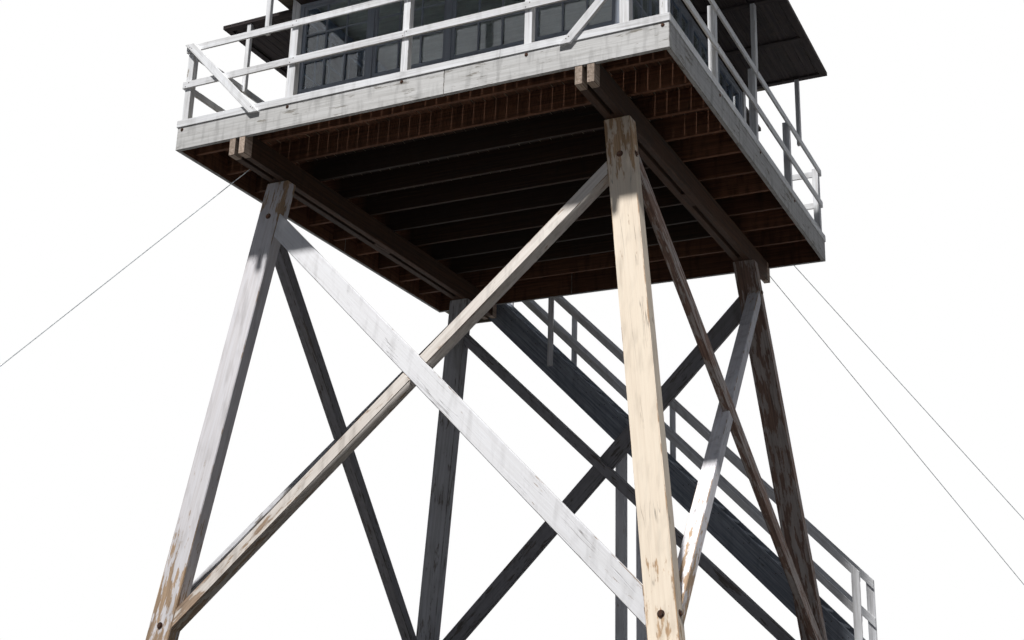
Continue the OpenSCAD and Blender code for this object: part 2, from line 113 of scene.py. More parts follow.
def add(tree, kind, inputs=None, **settings):
    """Adds a node. Inputs are set or linked by name or number. A node that is given as an input stands
    for the first of its outputs that is in use."""
    node = tree.nodes.new(kind)
    for name, value in settings.items():
        setattr(node, name, value)
    for key, value in (inputs or {}).items():
        if isinstance(value, bpy.types.Node):
            value = next(output for output in value.outputs if output.enabled)
        if isinstance(value, bpy.types.NodeSocket):
            tree.links.new(value, node.inputs[key])
        else:
            node.inputs[key].default_value = value
    return node


def span(low, high, to_low=0.0, to_high=1.0):
    """The inputs with which a Map Range node turns low to high into to_low to to_high."""
    return {"From Min": low, "From Max": high, "To Min": to_low, "To Max": to_high}


def start_material(name):
    """A new material with its output, ready for nodes."""
    material = bpy.data.materials.new(name)
    material.use_nodes = True
    material.node_tree.nodes.clear()
    return material, material.node_tree


def end_material(tree, shader):
    add(tree, "ShaderNodeOutputMaterial", {"Surface": shader})


print("white paint is", [round(c, 3) for c in linear("#ECECE8")])

# %% [markdown]
# Sawn softwood left outdoors: grey-brown wood with fibres and drying cracks along the grain, and old
# brushed paint that has flaked off in long patches and along the edges. Grain has to follow each timber,
# also the slanting ones, so every board carries its own coordinates in an attribute named grain (metres,
# the first one along the board), and faces on the rounded edges are marked in an attribute named edge.
# Real fibres of about 1 mm are too fine to show, so they are drawn about 8 mm wide.

# %% Weathered timber
STREAK = (1.1, 34.0, 34.0)     # streaks about 30 mm wide and a metre long
FIBRE = (6.0, 120.0, 120.0)    # fibres about 8 mm wide
CRACK = (0.30, 6.5, 6.5)       # drying cracks about 150 mm apart and some metres long
FLAKE = (3.0, 16.0, 16.0)      # paint flakes about 60 mm wide
EDGE_WEAR = 0.13               # how much sooner the paint goes along the arrises
PATCH_WEAR = 0.35              # how much its wear differs from patch to patch
PEEL = (0.15, 0.21)            # past the worn level the paint starts to go here, and is gone there
SPLASH = (0.3, 2.4)            # heights in metres between which the wear of the foot fades out
# The head's wear darkens the timber where the platform's shade falls: partly painted shade
SHADED = (5.0, 5.6)            # heights between which the wear of the head sets in


def timber(name, bare, dark, paint=None, worn=0.62, soil=0.25, rough=0.82, tone=0.25, crack=0.5,
           stain="#4A4036", thin=0.6, foot=0.0, head=0.0, gleam=0.3, beyond_cab=None):
    """Old sawn wood, with paint that is worn through where the wear noise passes the worn level. Foot and
    head are how much more it is worn near the ground, where rain splashes up, and under the platform, where
    the darker bare wood is partly painted shade.
    Gleam is low on rough wood, whose open fibres swallow most of what a smooth face would reflect. The rained
    pair gives the colours beyond the cab's walls, where light comes through the gaps of the deck; under the
    cab the bare and dark colours hold, and where these are nearly black that is painted shade."""
    material, tree = start_material(name)
    grain = add(tree, "ShaderNodeAttribute", attribute_name="grain").outputs["Vector"]
    edge = add(tree, "ShaderNodeAttribute", attribute_name="edge").outputs["Fac"]
    place = add(tree, "ShaderNodeTexCoord").outputs["Object"]
    at = {}
    for key, scale in {"streak": STREAK, "fibre": FIBRE, "crack": CRACK, "flake": FLAKE}.items():
        at[key] = add(tree, "ShaderNodeVectorMath", {0: grain, 1: scale}, operation="MULTIPLY")
    board = add(tree, "ShaderNodeTexNoise", {"Vector": grain, "Scale": 0.11, "Detail": 0.0})
    streaks = add(tree, "ShaderNodeTexNoise", {"Vector": at["streak"], "Scale": 1.0, "Detail": 5.0,
                                               "Roughness": 0.62, "Distortion": 0.3})
    fibres = add(tree, "ShaderNodeTexNoise", {"Vector": at["fibre"], "Scale": 1.0, "Detail": 2.0})
    blotch = add(tree, "ShaderNodeTexNoise", {"Vector": place, "Scale": 1.9, "Detail": 4.0})
    split = add(tree, "ShaderNodeTexNoise", {"Vector": at["crack"], "Scale": 1.0, "Detail": 3.0})
    off_line = add(tree, "ShaderNodeMath", {0: split, 1: 0.5}, operation="SUBTRACT")
    off_line = add(tree, "ShaderNodeMath", {0: off_line}, operation="ABSOLUTE")
    lines = add(tree, "ShaderNodeMapRange", {"Value": off_line, **span(0.0, 0.008, 1.0, 0.0)},
                interpolation_type="SMOOTHSTEP")
    some = add(tree, "ShaderNodeMapRange", {"Value": blotch, **span(0.5, 0.6)})
    cracks = add(tree, "ShaderNodeMath", {0: lines, 1: some}, operation="MULTIPLY")
    cracks = add(tree, "ShaderNodeMath", {0: cracks, 1: crack}, operation="MULTIPLY")

    spread = add(tree, "ShaderNodeMapRange", {"Value": streaks, **span(0.32, 0.68)})
    colour = add(tree, "ShaderNodeMix", {0: spread, 6: linear(dark), 7: linear(bare)}, data_type="RGBA")
    # Beyond the cab's walls the given pair holds; within them the bare and dark colours stay, and where these
    # are nearly black that is painted shade
    if beyond_cab:
        away = add(tree, "ShaderNodeVectorMath", {0: place}, operation="ABSOLUTE")
        away = add(tree, "ShaderNodeSeparateXYZ", {0: away}).outputs
        away = add(tree, "ShaderNodeMath", {0: away[0], 1: away[1]}, operation="MAXIMUM")
        beyond = add(tree, "ShaderNodeMapRange", {"Value": away, **span(wall_out - 0.15, wall_out + 0.15)})
        open_colour = add(tree, "ShaderNodeMix", {0: spread, 6: linear(beyond_cab[1]), 7: linear(beyond_cab[0])},
                     data_type="RGBA")
        colour = add(tree, "ShaderNodeMix", {0: beyond, 6: colour, 7: open_colour}, data_type="RGBA")
    fine = add(tree, "ShaderNodeMapRange", {"Value": fibres, **span(0.3, 0.7, 0.82, 1.12)})
    colour = add(tree, "ShaderNodeVectorMath", {0: colour, 3: fine}, operation="SCALE")
    relief = [(streaks, 0.5), (fibres, 0.35), (cracks, -1.4)]
    if paint:
        flakes = add(tree, "ShaderNodeTexNoise", {"Vector": at["flake"], "Scale": 1.0, "Detail": 6.0,
                                                  "Roughness": 0.65})
        rubbed = add(tree, "ShaderNodeMath", {0: edge, 1: EDGE_WEAR, 2: flakes}, operation="MULTIPLY_ADD")
        rubbed = add(tree, "ShaderNodeMath", {0: blotch, 1: PATCH_WEAR, 2: rubbed}, operation="MULTIPLY_ADD")
        if foot:
            height = add(tree, "ShaderNodeSeparateXYZ", {0: place}).outputs["Z"]
            # The second zone darkens the heads under the platform: partly painted shade
            for zone in (span(*SPLASH, foot, 0.0), span(*SHADED, 0.0, head)):
                more = add(tree, "ShaderNodeMapRange", {"Value": height, **zone})
                rubbed = add(tree, "ShaderNodeMath", {0: rubbed, 1: more}, operation="ADD")
        peeling = span(worn + PEEL[0], worn + PEEL[1], 1.0, 0.0)
        covered = add(tree, "ShaderNodeMapRange", {"Value": rubbed, **peeling})
        coat = add(tree, "ShaderNodeMapRange", {"Value": streaks, **span(0.3, 0.62, thin, 1.0)})
        over = add(tree, "ShaderNodeMath", {0: covered, 1: coat}, operation="MULTIPLY")
        colour = add(tree, "ShaderNodeMix", {0: over, 6: colour, 7: linear(paint)}, data_type="RGBA")
        relief.append((covered, 0.25))

    shade = add(tree, "ShaderNodeMapRange", {"Value": board, **span(0.3, 0.7, 1 - tone, 1 + tone * 0.4)})
    colour = add(tree, "ShaderNodeVectorMath", {0: colour, 3: shade}, operation="SCALE")
    runs_at = add(tree, "ShaderNodeVectorMath", {0: place, 1: (11.0, 11.0, 2.2)}, operation="MULTIPLY")
    runs = add(tree, "ShaderNodeTexNoise", {"Vector": runs_at, "Scale": 1.0, "Detail": 4.0})
    dirt = add(tree, "ShaderNodeMapRange", {"Value": runs, **span(0.5, 0.72, 0.0, soil)})
    colour = add(tree, "ShaderNodeMix", {0: dirt, 6: colour, 7: linear(stain)}, data_type="RGBA")
    colour = add(tree, "ShaderNodeMix", {0: cracks, 6: colour, 7: linear("#3A3028")}, data_type="RGBA")

    # Fibres and paint stand up, and cracks go in: the relief is their sum, each with its weight
    height = 0.0
    for part, weight in relief:
        height = add(tree, "ShaderNodeMath", {0: part, 1: weight, 2: height}, operation="MULTIPLY_ADD")
    bump = add(tree, "ShaderNodeBump", {"Height": height, "Strength": 0.55, "Distance": 0.006})
    gloss = add(tree, "ShaderNodeMapRange", {"Value": fibres, **span(0.3, 0.7, rough - 0.1, rough + 0.08)})
    shader = add(tree, "ShaderNodeBsdfPrincipled", {"Base Color": colour, "Roughness": gloss, "Normal": bump,
                                                    "IOR": 1.5, "Specular IOR Level": gleam})
    end_material(tree, shader)
    return material


print("timber has streaks, fibres, cracks and flakes at", STREAK, FIBRE, CRACK, FLAKE)

# %% [markdown]
# The timbers of the photograph differ: the near leg is cream and warm, the left one dull, the far one
# grey and the right one reddish. Each gets a finish of its own: its colours, and how far the paint has
# gone. The far and right legs and the braces in the platform's shade get darker copies of the wash, which are
# partly painted shade.

# %% Timber finishes
# Sawn fir under cream paint that the sun has bleached: warm and pale, tan where the paint is gone
cream_fir = timber("sawn_fir_bleached_cream_paint", "#E0BE9A", "#AE8C6C", "#FFF0DC", worn=0.71, soil=0.18,
                   thin=0.82, foot=0.17, head=0.24)
# The left leg and the right inner brace: the paint has gone dull and grey, with tan wood along the arrises
dull_fir = timber("sawn_fir_dull_white_wash", "#C6A98C", "#937D68", "#E6E4E8", worn=0.70, soil=0.25,
                  thin=0.78, foot=0.26, head=0.20)
# The same timbers under a cooler white wash: the front's outer brace and the stair's posts
pale_fir = timber("sawn_fir_worn_white_wash", "#C4AF9C", "#8F7D6D", "#FAFAFD", worn=0.72, soil=0.18,
                  thin=0.86, foot=0.12)
# The front's inner brace has weathered most: thin grey wash over tan wood
thin_wash = timber("sawn_fir_worn_thin_wash", "#BFA68F", "#8A7563", "#E4DDD6", worn=0.64, soil=0.3,
                   thin=0.68, foot=0.18)
# The far leg and the left outer brace stand mostly in shade: grey wood through a thin wash, darker than the
# lit timbers' wash, which is partly painted shade
grey_wash = timber("sawn_fir_grey_wash_painted_shade", "#8F8A86", "#5F5A56", "#C2C2C6", worn=0.60, soil=0.3, thin=0.6)
# The rear braces and the left inner one stand in shade: a dark grey copy of the thin wash, whose darkness is
# painted shade
shade_fir = timber("sawn_fir_dark_grey_painted_shade", "#716B68", "#494441", "#98979C", worn=0.60, soil=0.3, thin=0.6)
# The right side stands in the platform's shade: reddish brown wood with little wash left; its hue is the
# wood's, its darkness partly painted shade
red_fir = timber("sawn_fir_reddish_painted_shade", "#8A7064", "#57443C", "#B8AFAA", worn=0.50, soil=0.3, thin=0.4)
# The rim's planks: thin white paint, mottled grey by rain
rim_fir = timber("sawn_fir_stained_paint", "#9F9A93", "#747069", "#CBCAC9", worn=0.62, soil=0.55,
                 stain="#7F7E7D", crack=0.25)
# Bare ends of timbers that stick out: grey-tan, with dark end grain
bare_fir = timber("sawn_fir_bare_weathered", "#C9B6A6", "#8E7C6E", soil=0.35, tone=0.35)
# White oil paint on planed boards: clean and bright, thin on the edges
white_paint = timber("planed_fir_white_oil_paint", "#A69B8B", "#7C7163", "#F1F2F5", worn=0.72, soil=0.2,
                     rough=0.6, tone=0.1, crack=0.25)
# Slate-blue paint on the boarded walls: dull and chalky, a little paler where it has weathered
slate_paint = timber("fir_boards_slate_paint", "#7B7A78", "#55555A", "#5D6573", worn=0.70, soil=0.3,
                     rough=0.75, tone=0.3, crack=0.3)
# Window frames and sashes: the same slate paint, brushed smoother and a little lighter
slate_frames = timber("planed_fir_slate_paint", "#8F8D8A", "#6B696B", "#98A0AE", worn=0.74, soil=0.2,
                      rough=0.6, tone=0.15, crack=0.15)
# Girders, always in the platform's shade: reddish brown fir made nearly black, which is painted shade
brown_fir = timber("sawn_fir_brown_painted_shade", "#3B281D", "#17100C", soil=0.5, stain="#161210", tone=0.6,
                   gleam=0.12)
# Joists and the undersides of planks: tan-red fir beyond the cab, and nearly black under it, which is painted
# shade
joist_fir = timber("sawn_fir_tan_red_and_shade_under_cab", "#2B1D15", "#110B08", soil=0.5, stain="#161210", tone=0.6,
                   gleam=0.12, beyond_cab=("#8F6650", "#5C4032"))
# Boards under the open sky: silver-grey and rough
grey_fir = timber("weathered_fir_grey", "#99917F", "#5F584D", soil=0.35, tone=0.35)
# The stair's planks: silver-grey fir, in the shade of the platform for most of the day
silver_fir = timber("weathered_fir_silver", "#A2A8B2", "#6C727C", soil=0.3, stain="#4A4D54", tone=0.3)
# Shutter boards: dark stain faded to brown and grey
dark_stain = timber("fir_boards_dark_stain", "#433C3C", "#232024", soil=0.3, tone=0.4, gleam=0.12)
# Ceiling and lining inside the cab: cream paint, hardly worn
room_paint = timber("planed_fir_cream_paint", "#B09A7C", "#84705A", "#D9D2C0", worn=0.86, soil=0.05,
                    rough=0.6, tone=0.08, crack=0.1)
# Split cedar shingles: brown to silver, each one its own tone
cedar = timber("split_cedar_shingle", "#8A7A68", "#4B4037", soil=0.35, tone=0.5)
print(len(bpy.data.materials), "timber finishes")

# %% [markdown]
# Concrete is cast in board forms on the ground: grey and a little warm, with pores, and dull all over.
# Steel is either dull zinc or dark iron with rust. Glass is old drawn sheet, slightly blue, with dust
# that makes it less than perfectly smooth.

# %% Concrete, steel and glass
def cast_concrete():
    material, tree = start_material("cast_concrete_rough")
    place = add(tree, "ShaderNodeTexCoord").outputs["Object"]
    cloud = add(tree, "ShaderNodeTexNoise", {"Vector": place, "Scale": 7.0, "Detail": 6.0})
    sand = add(tree, "ShaderNodeTexNoise", {"Vector": place, "Scale": 160.0, "Detail": 3.0})
    pore = add(tree, "ShaderNodeTexVoronoi", {"Vector": place, "Scale": 55.0})
    holes = add(tree, "ShaderNodeMapRange", {"Value": pore, **span(0.08, 0.16)},
                interpolation_type="SMOOTHSTEP")
    spread = add(tree, "ShaderNodeMapRange", {"Value": cloud, **span(0.3, 0.7)})
    colour = add(tree, "ShaderNodeMix", {0: spread, 6: linear("#85806F"), 7: linear("#B3AEA3")},
                 data_type="RGBA")
    grit = add(tree, "ShaderNodeMapRange", {"Value": sand, **span(0.3, 0.7, 0.85, 1.1)})
    colour = add(tree, "ShaderNodeVectorMath", {0: colour, 3: grit}, operation="SCALE")
    colour = add(tree, "ShaderNodeMix", {0: holes, 6: linear("#5B564B"), 7: colour}, data_type="RGBA")
    height = add(tree, "ShaderNodeMath", {0: sand, 1: 0.3, 2: holes}, operation="MULTIPLY_ADD")
    bump = add(tree, "ShaderNodeBump", {"Height": height, "Strength": 0.6, "Distance": 0.004})
    shader = add(tree, "ShaderNodeBsdfPrincipled", {"Base Color": colour, "Roughness": 0.92,
                                                    "Normal": bump, "IOR": 1.5})
    end_material(tree, shader)
    return material


def steel(name, clean, dull, rough, spot=40.0):
    """Metal with cloudy patches, as zinc has, or as rust makes on iron."""
    material, tree = start_material(name)
    place = add(tree, "ShaderNodeTexCoord").outputs["Object"]
    patch = add(tree, "ShaderNodeTexNoise", {"Vector": place, "Scale": spot, "Detail": 5.0})
    spread = add(tree, "ShaderNodeMapRange", {"Value": patch, **span(0.35, 0.65)})
    colour = add(tree, "ShaderNodeMix", {0: spread, 6: linear(dull), 7: linear(clean)}, data_type="RGBA")
    gloss = add(tree, "ShaderNodeMapRange", {"Value": patch, **span(0.3, 0.7, rough + 0.12, rough - 0.08)})
    bump = add(tree, "ShaderNodeBump", {"Height": patch, "Strength": 0.3, "Distance": 0.001})
    shader = add(tree, "ShaderNodeBsdfPrincipled", {"Base Color": colour, "Roughness": gloss,
                                                    "Metallic": 1.0, "Normal": bump})
    end_material(tree, shader)
    return material


def sheet_glass():
    material, tree = start_material("drawn_sheet_glass_dusty")
    place = add(tree, "ShaderNodeTexCoord").outputs["Object"]
    wave = add(tree, "ShaderNodeTexNoise", {"Vector": place, "Scale": 2.5, "Detail": 2.0})
    dust = add(tree, "ShaderNodeTexNoise", {"Vector": place, "Scale": 14.0, "Detail": 6.0})
    haze = add(tree, "ShaderNodeMapRange", {"Value": dust, **span(0.4, 0.75, 0.01, 0.08)})
    tint = add(tree, "ShaderNodeMix", {0: dust, 6: linear("#DCE7F2"), 7: linear("#C2CFDD")},
               data_type="RGBA")
    bump = add(tree, "ShaderNodeBump", {"Height": wave, "Strength": 0.06, "Distance": 0.005})
    shader = add(tree, "ShaderNodeBsdfPrincipled", {"Base Color": tint, "IOR": 1.52,
                                                    "Roughness": haze, "Normal": bump,
                                                    "Transmission Weight": 1.0})
    end_material(tree, shader)
    return material


concrete = cast_concrete()
# Hot-dip zinc: pale grey with cloudy patches
zinc = steel("galvanised_steel_dull", "#A7ABAE", "#70757A", 0.48)
# Plain iron hardware: nearly black, with brown rust
iron = steel("black_iron_rusted", "#35302D", "#4A3126", 0.62, spot=70.0)
glass = sheet_glass()
print(len(bpy.data.materials), "materials")

# %% [markdown]
# Almost everything here is a board: a flat outline given a thickness. One function makes a board from
# its outline and gives each of its corners a place in the board's own coordinates, with a random start,
# so that no two boards share a pattern.

# %% Board helpers
AXES = {"x": Vector((1, 0, 0)), "y": Vector((0, 1, 0)), "z": Vector((0, 0, 1))}


def start_mesh():
    bm = bmesh.new()
    bm.verts.layers.float_vector.new("grain")
    bm.faces.layers.float.new("edge")
    return bm


def mark_grain(bm, verts, along):
    """Stores the place of each corner along and across the grain, from a random start."""
    layer = bm.verts.layers.float_vector["grain"]
    along = along.normalized()
    side = along.orthogonal().normalized()
    third = along.cross(side)
    begin = Vector((rng.uniform(-30, 30), rng.uniform(-30, 30), rng.uniform(-30, 30)))
    for v in verts:
        v[layer] = Vector((v.co.dot(along), v.co.dot(side), v.co.dot(third))) + begin


def board(bm, outline, depth, along, turn=0):
    """A closed board from a flat outline and its depth. Turn is in quarter turns, seen from above."""
    depth = Vector(depth)
    near = [bm.verts.new(p) for p in outline]
    far = [bm.verts.new(Vector(p) + depth) for p in outline]
    bm.faces.new(near)
    bm.faces.new(far[::-1])
    for i in range(len(near)):
        j = (i + 1) % len(near)
        bm.faces.new((near[j], near[i], far[i], far[j]))
    mark_grain(bm, near + far, AXES[along] if isinstance(along, str) else Vector(along))
    spin = Matrix.Rotation(turn * QUARTER, 3, "Z")
    for v in near + far:
        v.co = spin @ v.co


def rectangle(centre, along, across, length, width):
    """The corners of a flat rectangle round a point."""
    return [centre + along * a * length / 2 + across * b * width / 2
            for a, b in ((-1, -1), (1, -1), (1, 1), (-1, 1))]


def circle(centre, side, up, radius, count):
    """Points evenly round a circle."""
    turns = [math.tau * k / count for k in range(count)]
    return [centre + side * radius * math.cos(t) + up * radius * math.sin(t) for t in turns]


def block(bm, low, high, along="x", turn=0):
    """A straight board between two corners."""
    (x0, y0, z0), (x1, y1, z1) = low, high
    board(bm, [(x0, y0, z0), (x1, y0, z0), (x1, y1, z0), (x0, y1, z0)], (0, 0, z1 - z0), along, turn)


print("boards run along", list(AXES))

# %% [markdown]
# A box is filled with boards side by side, as a deck or a wall is. A finished piece has the edges of all
# its boards rounded at once, and is handed to the frame with the nodes that it replaces.

# %% Boarding and finished pieces
def boarding(bm, low, high, along, across, width, gap=0.004, turn=0, joints=()):
    """Boards side by side that fill a box; each is cut at one of the joints, if there are any."""
    a, c = "xyz".index(along), "xyz".index(across)
    count = max(1, round((high[c] - low[c]) / (width + gap)))
    step = (high[c] - low[c] + gap) / count
    for i in range(count):
        near, far = list(low), list(high)
        near[c] = low[c] + i * step
        far[c] = near[c] + step - gap
        cut = rng.choice(joints) if joints else None
        if cut is None:
            block(bm, near, far, along, turn)
            continue
        middle = list(far)
        middle[a] = cut - gap / 4
        block(bm, near, middle, along, turn)
        middle = list(near)
        middle[a] = cut + gap / 4
        block(bm, middle, far, along, turn)


def finish_piece(bm, name, material, nodes=(), rounding=0.004, steps=1, second=None):
    """Rounds the sharp edges, makes the object, and gives it to the frame. With a list of two materials,
    second says for a face's middle and normal whether it takes the second one."""
    bmesh.ops.recalc_face_normals(bm, faces=bm.faces)
    if second:
        for face in bm.faces:
            face.material_index = int(second(face.calc_center_median(), face.normal))
    if rounding:
        sharp = [e for e in bm.edges if e.calc_face_angle(0) > 0.35]
        cut = bmesh.ops.bevel(bm, geom=sharp, offset=rounding, segments=steps, affect="EDGES",
                              clamp_overlap=True)
        layer = bm.faces.layers.float.get("edge")
        for face in cut["faces"]:
            face[layer] = 1.0
    mesh = bpy.data.meshes.new(name)
    bm.to_mesh(mesh)
    bm.free()
    for item in material if isinstance(material, list) else [material]:
        mesh.materials.append(item)
    piece = bpy.data.objects.new(name, mesh)
    bpy.context.scene.collection.objects.link(piece)
    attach(piece, "root")
    if nodes:
        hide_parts(*nodes)
    print(name, len(mesh.polygons), "faces")
    return piece


print(len(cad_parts), "nodes to dress")

# %% [markdown]
# The legs and braces are heavy sawn timbers with cuts at odd angles: feet cut level, brace ends cut to
# the legs, and inner braces housed behind the outer ones. Those cuts are already right in the CAD solids,
# so each timber starts as a merged copy of its node. It gets grain along its longest edge, worn arrises,
# and the legs a slight unevenness, which a saw mill and many winters leave.

# %% Legs and braces
ARRIS = 0.007
UNEVEN = 0.0022
LEGS = ["leg_front_left", "leg_front_right", "leg_rear_right", "leg_rear_left"]
SIDES = ["front", "right", "rear", "left"]


def cad_copy(node):
    """A merged copy of a CAD node with its flat faces joined."""
    bm = start_mesh()
    bm.from_mesh(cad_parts[node].data)
    bmesh.ops.remove_doubles(bm, verts=bm.verts, dist=1e-5)
    bmesh.ops.dissolve_limit(bm, angle_limit=0.01, verts=bm.verts, edges=bm.edges)
    return bm


def slanting_timber(node, material, uneven):
    bm = cad_copy(node)
    longest = max(bm.edges, key=lambda e: e.calc_length())
    along = longest.verts[1].co - longest.verts[0].co
    if uneven:
        sides = [e for e in bm.edges if e.calc_length() > along.length * 0.8]
        bmesh.ops.subdivide_edges(bm, edges=sides, cuts=12, use_grid_fill=True)
    mark_grain(bm, bm.verts[:], along)
    for v in bm.verts:
        if uneven and footing_z + 0.01 < v.co.z < leg_top - 0.01:
            v.co += noise.noise_vector(v.co * 1.7) * uneven
    return finish_piece(bm, node + "_timber", material, [node], rounding=ARRIS, steps=2)


# The far and right timbers and the rear braces take darker finishes: partly painted shade
for leg, finish in zip(LEGS, (dull_fir, cream_fir, red_fir, grey_wash)):
    slanting_timber(leg, finish, UNEVEN)
for side, outer, inner in zip(SIDES, (pale_fir, red_fir, shade_fir, grey_wash),
                              (thin_wash, dull_fir, shade_fir, shade_fir)):
    slanting_timber(side + "_outer_brace", outer, 0)
    slanting_timber(side + "_inner_brace", inner, 0)

# %% [markdown]
# Two girders of paired timbers lie on the leg heads, and ten joists cross them. Their ends pass under
# the rim, where they show as forked stubs, bleached by the weather. The rest of them and the joists are bare
# brown wood, always in shade: the girders and the joists under the cab are nearly black, which is painted
# shade, and the joists beyond it are tan-red.

# %% Girders and joists
GIRDER_T = 0.090
GIRDER_W = 0.230               # width over both timbers of a girder
RIM_T = 0.050
JOIST_T = 0.050
JOIST_N = 10
HEAD_Y = 2.385                 # the leg heads' distance from the middle, from front to rear
PACK = 0.400                   # length of the packing blocks between a girder's timbers
# Inward of a girder's bare end, its near-black brown is painted shade
BARE_END = 0.140               # length of a girder's end that the weather reaches
girder_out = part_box("girders")[1].x
girder_in = girder_out - GIRDER_W

bm = start_mesh()
for m in (-1, 1):
    for inner, outer in ((girder_in, girder_in + GIRDER_T), (girder_out - GIRDER_T, girder_out)):
        x0, x1 = sorted((m * inner, m * outer))
        notch_y = half_w - RIM_T
        outline = [(-half_w, leg_top), (half_w, leg_top), (half_w, rim_z), (notch_y, rim_z),
                   (notch_y, joist_z), (-notch_y, joist_z), (-notch_y, rim_z), (-half_w, rim_z)]
        board(bm, [(x0, y, z) for y, z in outline], (x1 - x0, 0, 0), "y")
    for y in (-HEAD_Y, 0, HEAD_Y):
        x0, x1 = sorted((m * (girder_in + GIRDER_T), m * (girder_out - GIRDER_T)))
        block(bm, (x0, y - PACK / 2, leg_top), (x1, y + PACK / 2, joist_z), "y")
for sign in (-1, 1):
    bmesh.ops.bisect_plane(bm, geom=bm.verts[:] + bm.edges[:] + bm.faces[:],
                           plane_co=(0, sign * (half_w - BARE_END), 0), plane_no=(0, 1, 0))
finish_piece(bm, "girder_timbers", [brown_fir, bare_fir], ["girders"],
             second=lambda middle, normal: abs(middle.y) > half_w - BARE_END)

joist_low, joist_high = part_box("floor_joists")
bm = start_mesh()
for i in range(JOIST_N):
    y = joist_low.y + i * (joist_high.y - joist_low.y - JOIST_T) / (JOIST_N - 1)
    block(bm, (joist_low.x, y, joist_low.z), (joist_high.x, y + JOIST_T, joist_high.z), "x")
finish_piece(bm, "floor_joist_timbers", joist_fir, ["floor_joists"])

# %% [markdown]
# Around the platform runs a deep rim: a plank with a narrow white board along its top edge, which
# throws a thin shadow line. Planks of this length are joined end to end, so each side has a butt joint.
# The rim is painted outside only; its inner faces and the undersides of the floor planks are brown, and under
# the cab the undersides are nearly black, which is painted shade.

# %% Rims
TRIM_H = 0.095
TRIM_OUT = 0.012
BUTT = 0.004                   # gap in a butt joint
TRIM_BUTT = 0.003
TRIM_SHIFT = 0.700             # the trim's joints are this far from the planks' joints
rim_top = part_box("end_rims")[1].z

bm = start_mesh()
trim = start_mesh()
for turn, reach, out, joint in ((0, half_l, half_w, 0.55), (1, half_w - RIM_T, half_l, -0.9),
                                (2, half_l, half_w, 0.8), (3, half_w - RIM_T, half_l, -0.4)):
    for x0, x1 in ((-reach, joint - BUTT / 2), (joint + BUTT / 2, reach)):
        block(bm, (x0, -out, rim_z), (x1, RIM_T - out, rim_top), "x", turn)
    # The trim of the front and rear laps over the ends of the other two
    trim_end = half_l + TRIM_OUT if turn % 2 == 0 else half_w
    ends = (-trim_end, joint + TRIM_SHIFT, trim_end)
    for x0, x1 in zip(ends, ends[1:]):
        block(trim, (x0, -out - TRIM_OUT, deck_z - TRIM_H), (x1 - TRIM_BUTT, -out, deck_z - 0.001), "x", turn)
finish_piece(bm, "rim_planks", [rim_fir, joist_fir], ["end_rims", "side_rims"],
             rounding=0.005, second=lambda middle, normal: middle.x * normal.x + middle.y * normal.y < -0.5)
finish_piece(trim, "rim_trim_boards", white_paint, rounding=0.003)

# %% [markdown]
# The walkway is planked across the joists, with gaps that let the rain through, and the cab has its own
# floor of narrow boards. From below the planks show as dark lines between the joists, nearly black under the
# cab, which is painted shade.

# %% Deck and cab floor
PLANK_W = 0.140
FLOOR_BOARD_W = 0.085
joist_lines = [-1.775, -0.525, 0.725, 1.975]    # joists on which the planks are joined
bm = start_mesh()
boarding(bm, (-half_l, -half_w, deck_under), (half_l, half_w, deck_z), "y", "x", PLANK_W, joints=joist_lines)
finish_piece(bm, "walkway_planks", [grey_fir, joist_fir], ["walkway_deck"],
             rounding=0.003, second=lambda middle, normal: normal.z < -0.5)

floor_low, floor_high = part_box("cab_floor")
bm = start_mesh()
boarding(bm, floor_low, floor_high, "x", "y", FLOOR_BOARD_W, gap=0.002)
finish_piece(bm, "cab_floor_boards", brown_fir, ["cab_floor"], rounding=0.0015)

# %% [markdown]
# Below the windows the cab is boarded: upright boards outside, level ones inside, on a frame that makes
# up the thickness. The corners are covered by white posts that stand a little proud of the boards.

# %% Walls and corner posts
SKIN = 0.022
LINING = 0.015
WALL_BOARD_W = 0.115
LINING_BOARD_W = 0.090
SKIRT = 0.020                  # the lining starts this far over the floor
for turn, side in enumerate(SIDES):
    low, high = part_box(side + "_wall")
    stop = (high - low)[turn % 2] - wall_end
    outside = start_mesh()
    boarding(outside, (-wall_end, -wall_out, deck_z), (stop, SKIN - wall_out, sill_z), "z", "x", WALL_BOARD_W,
             gap=0.003, turn=turn)
    block(outside, (-wall_end, SKIN - wall_out, deck_z), (stop, -LINING - wall_in, sill_z), "x", turn)
    finish_piece(outside, side + "_wall_boards", slate_paint, [side + "_wall"],
                 rounding=0.0025)
    inside = start_mesh()
    boarding(inside, (-wall_in, -wall_in - LINING, deck_z + SKIRT), (min(stop, wall_in), -wall_in, sill_z),
             "x", "z", LINING_BOARD_W, gap=0.002, turn=turn)
    finish_piece(inside, side + "_wall_lining", room_paint, rounding=0.0015)

post_low, post_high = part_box("corner_posts")
CORNER = 0.120
bm = start_mesh()
for x in (post_low.x, post_high.x - CORNER):
    for y in (post_low.y, post_high.y - CORNER):
        block(bm, (x, y, post_low.z), (x + CORNER, y + CORNER, post_high.z), "z")
finish_piece(bm, "corner_post_timbers", white_paint, ["corner_posts"], rounding=0.006)

# %% [markdown]
# Each side has four windows in a row, the rear three and the door. A window is a frame with a sill, and
# a glazed sash divided by thin bars. The frame repeats the CAD node board by board, and the sashes sit
# just outside the glass.

# %% Windows
FRAME_W = 0.060
HEAD_H = 0.210
MULLION_W = 0.070
MULLION_T = 0.045
SASH_W = 0.045
SASH_FOOT = SASH_W * 1.3       # a sash's lower rail is deeper than the others
SASH_SET = 0.012               # the sashes sit this far inside the wall's face
BAR_W = 0.020
BAR_SETS = (0.006, 0.007)      # upright and level bars inside the sash's face, so no two faces coincide
SILL_OUT = 0.040
SILL_T = 0.035
PANES = 4
DOOR_BAY = 1.020
glass_low = sill_z + FRAME_W
glass_high = plate_z - HEAD_H


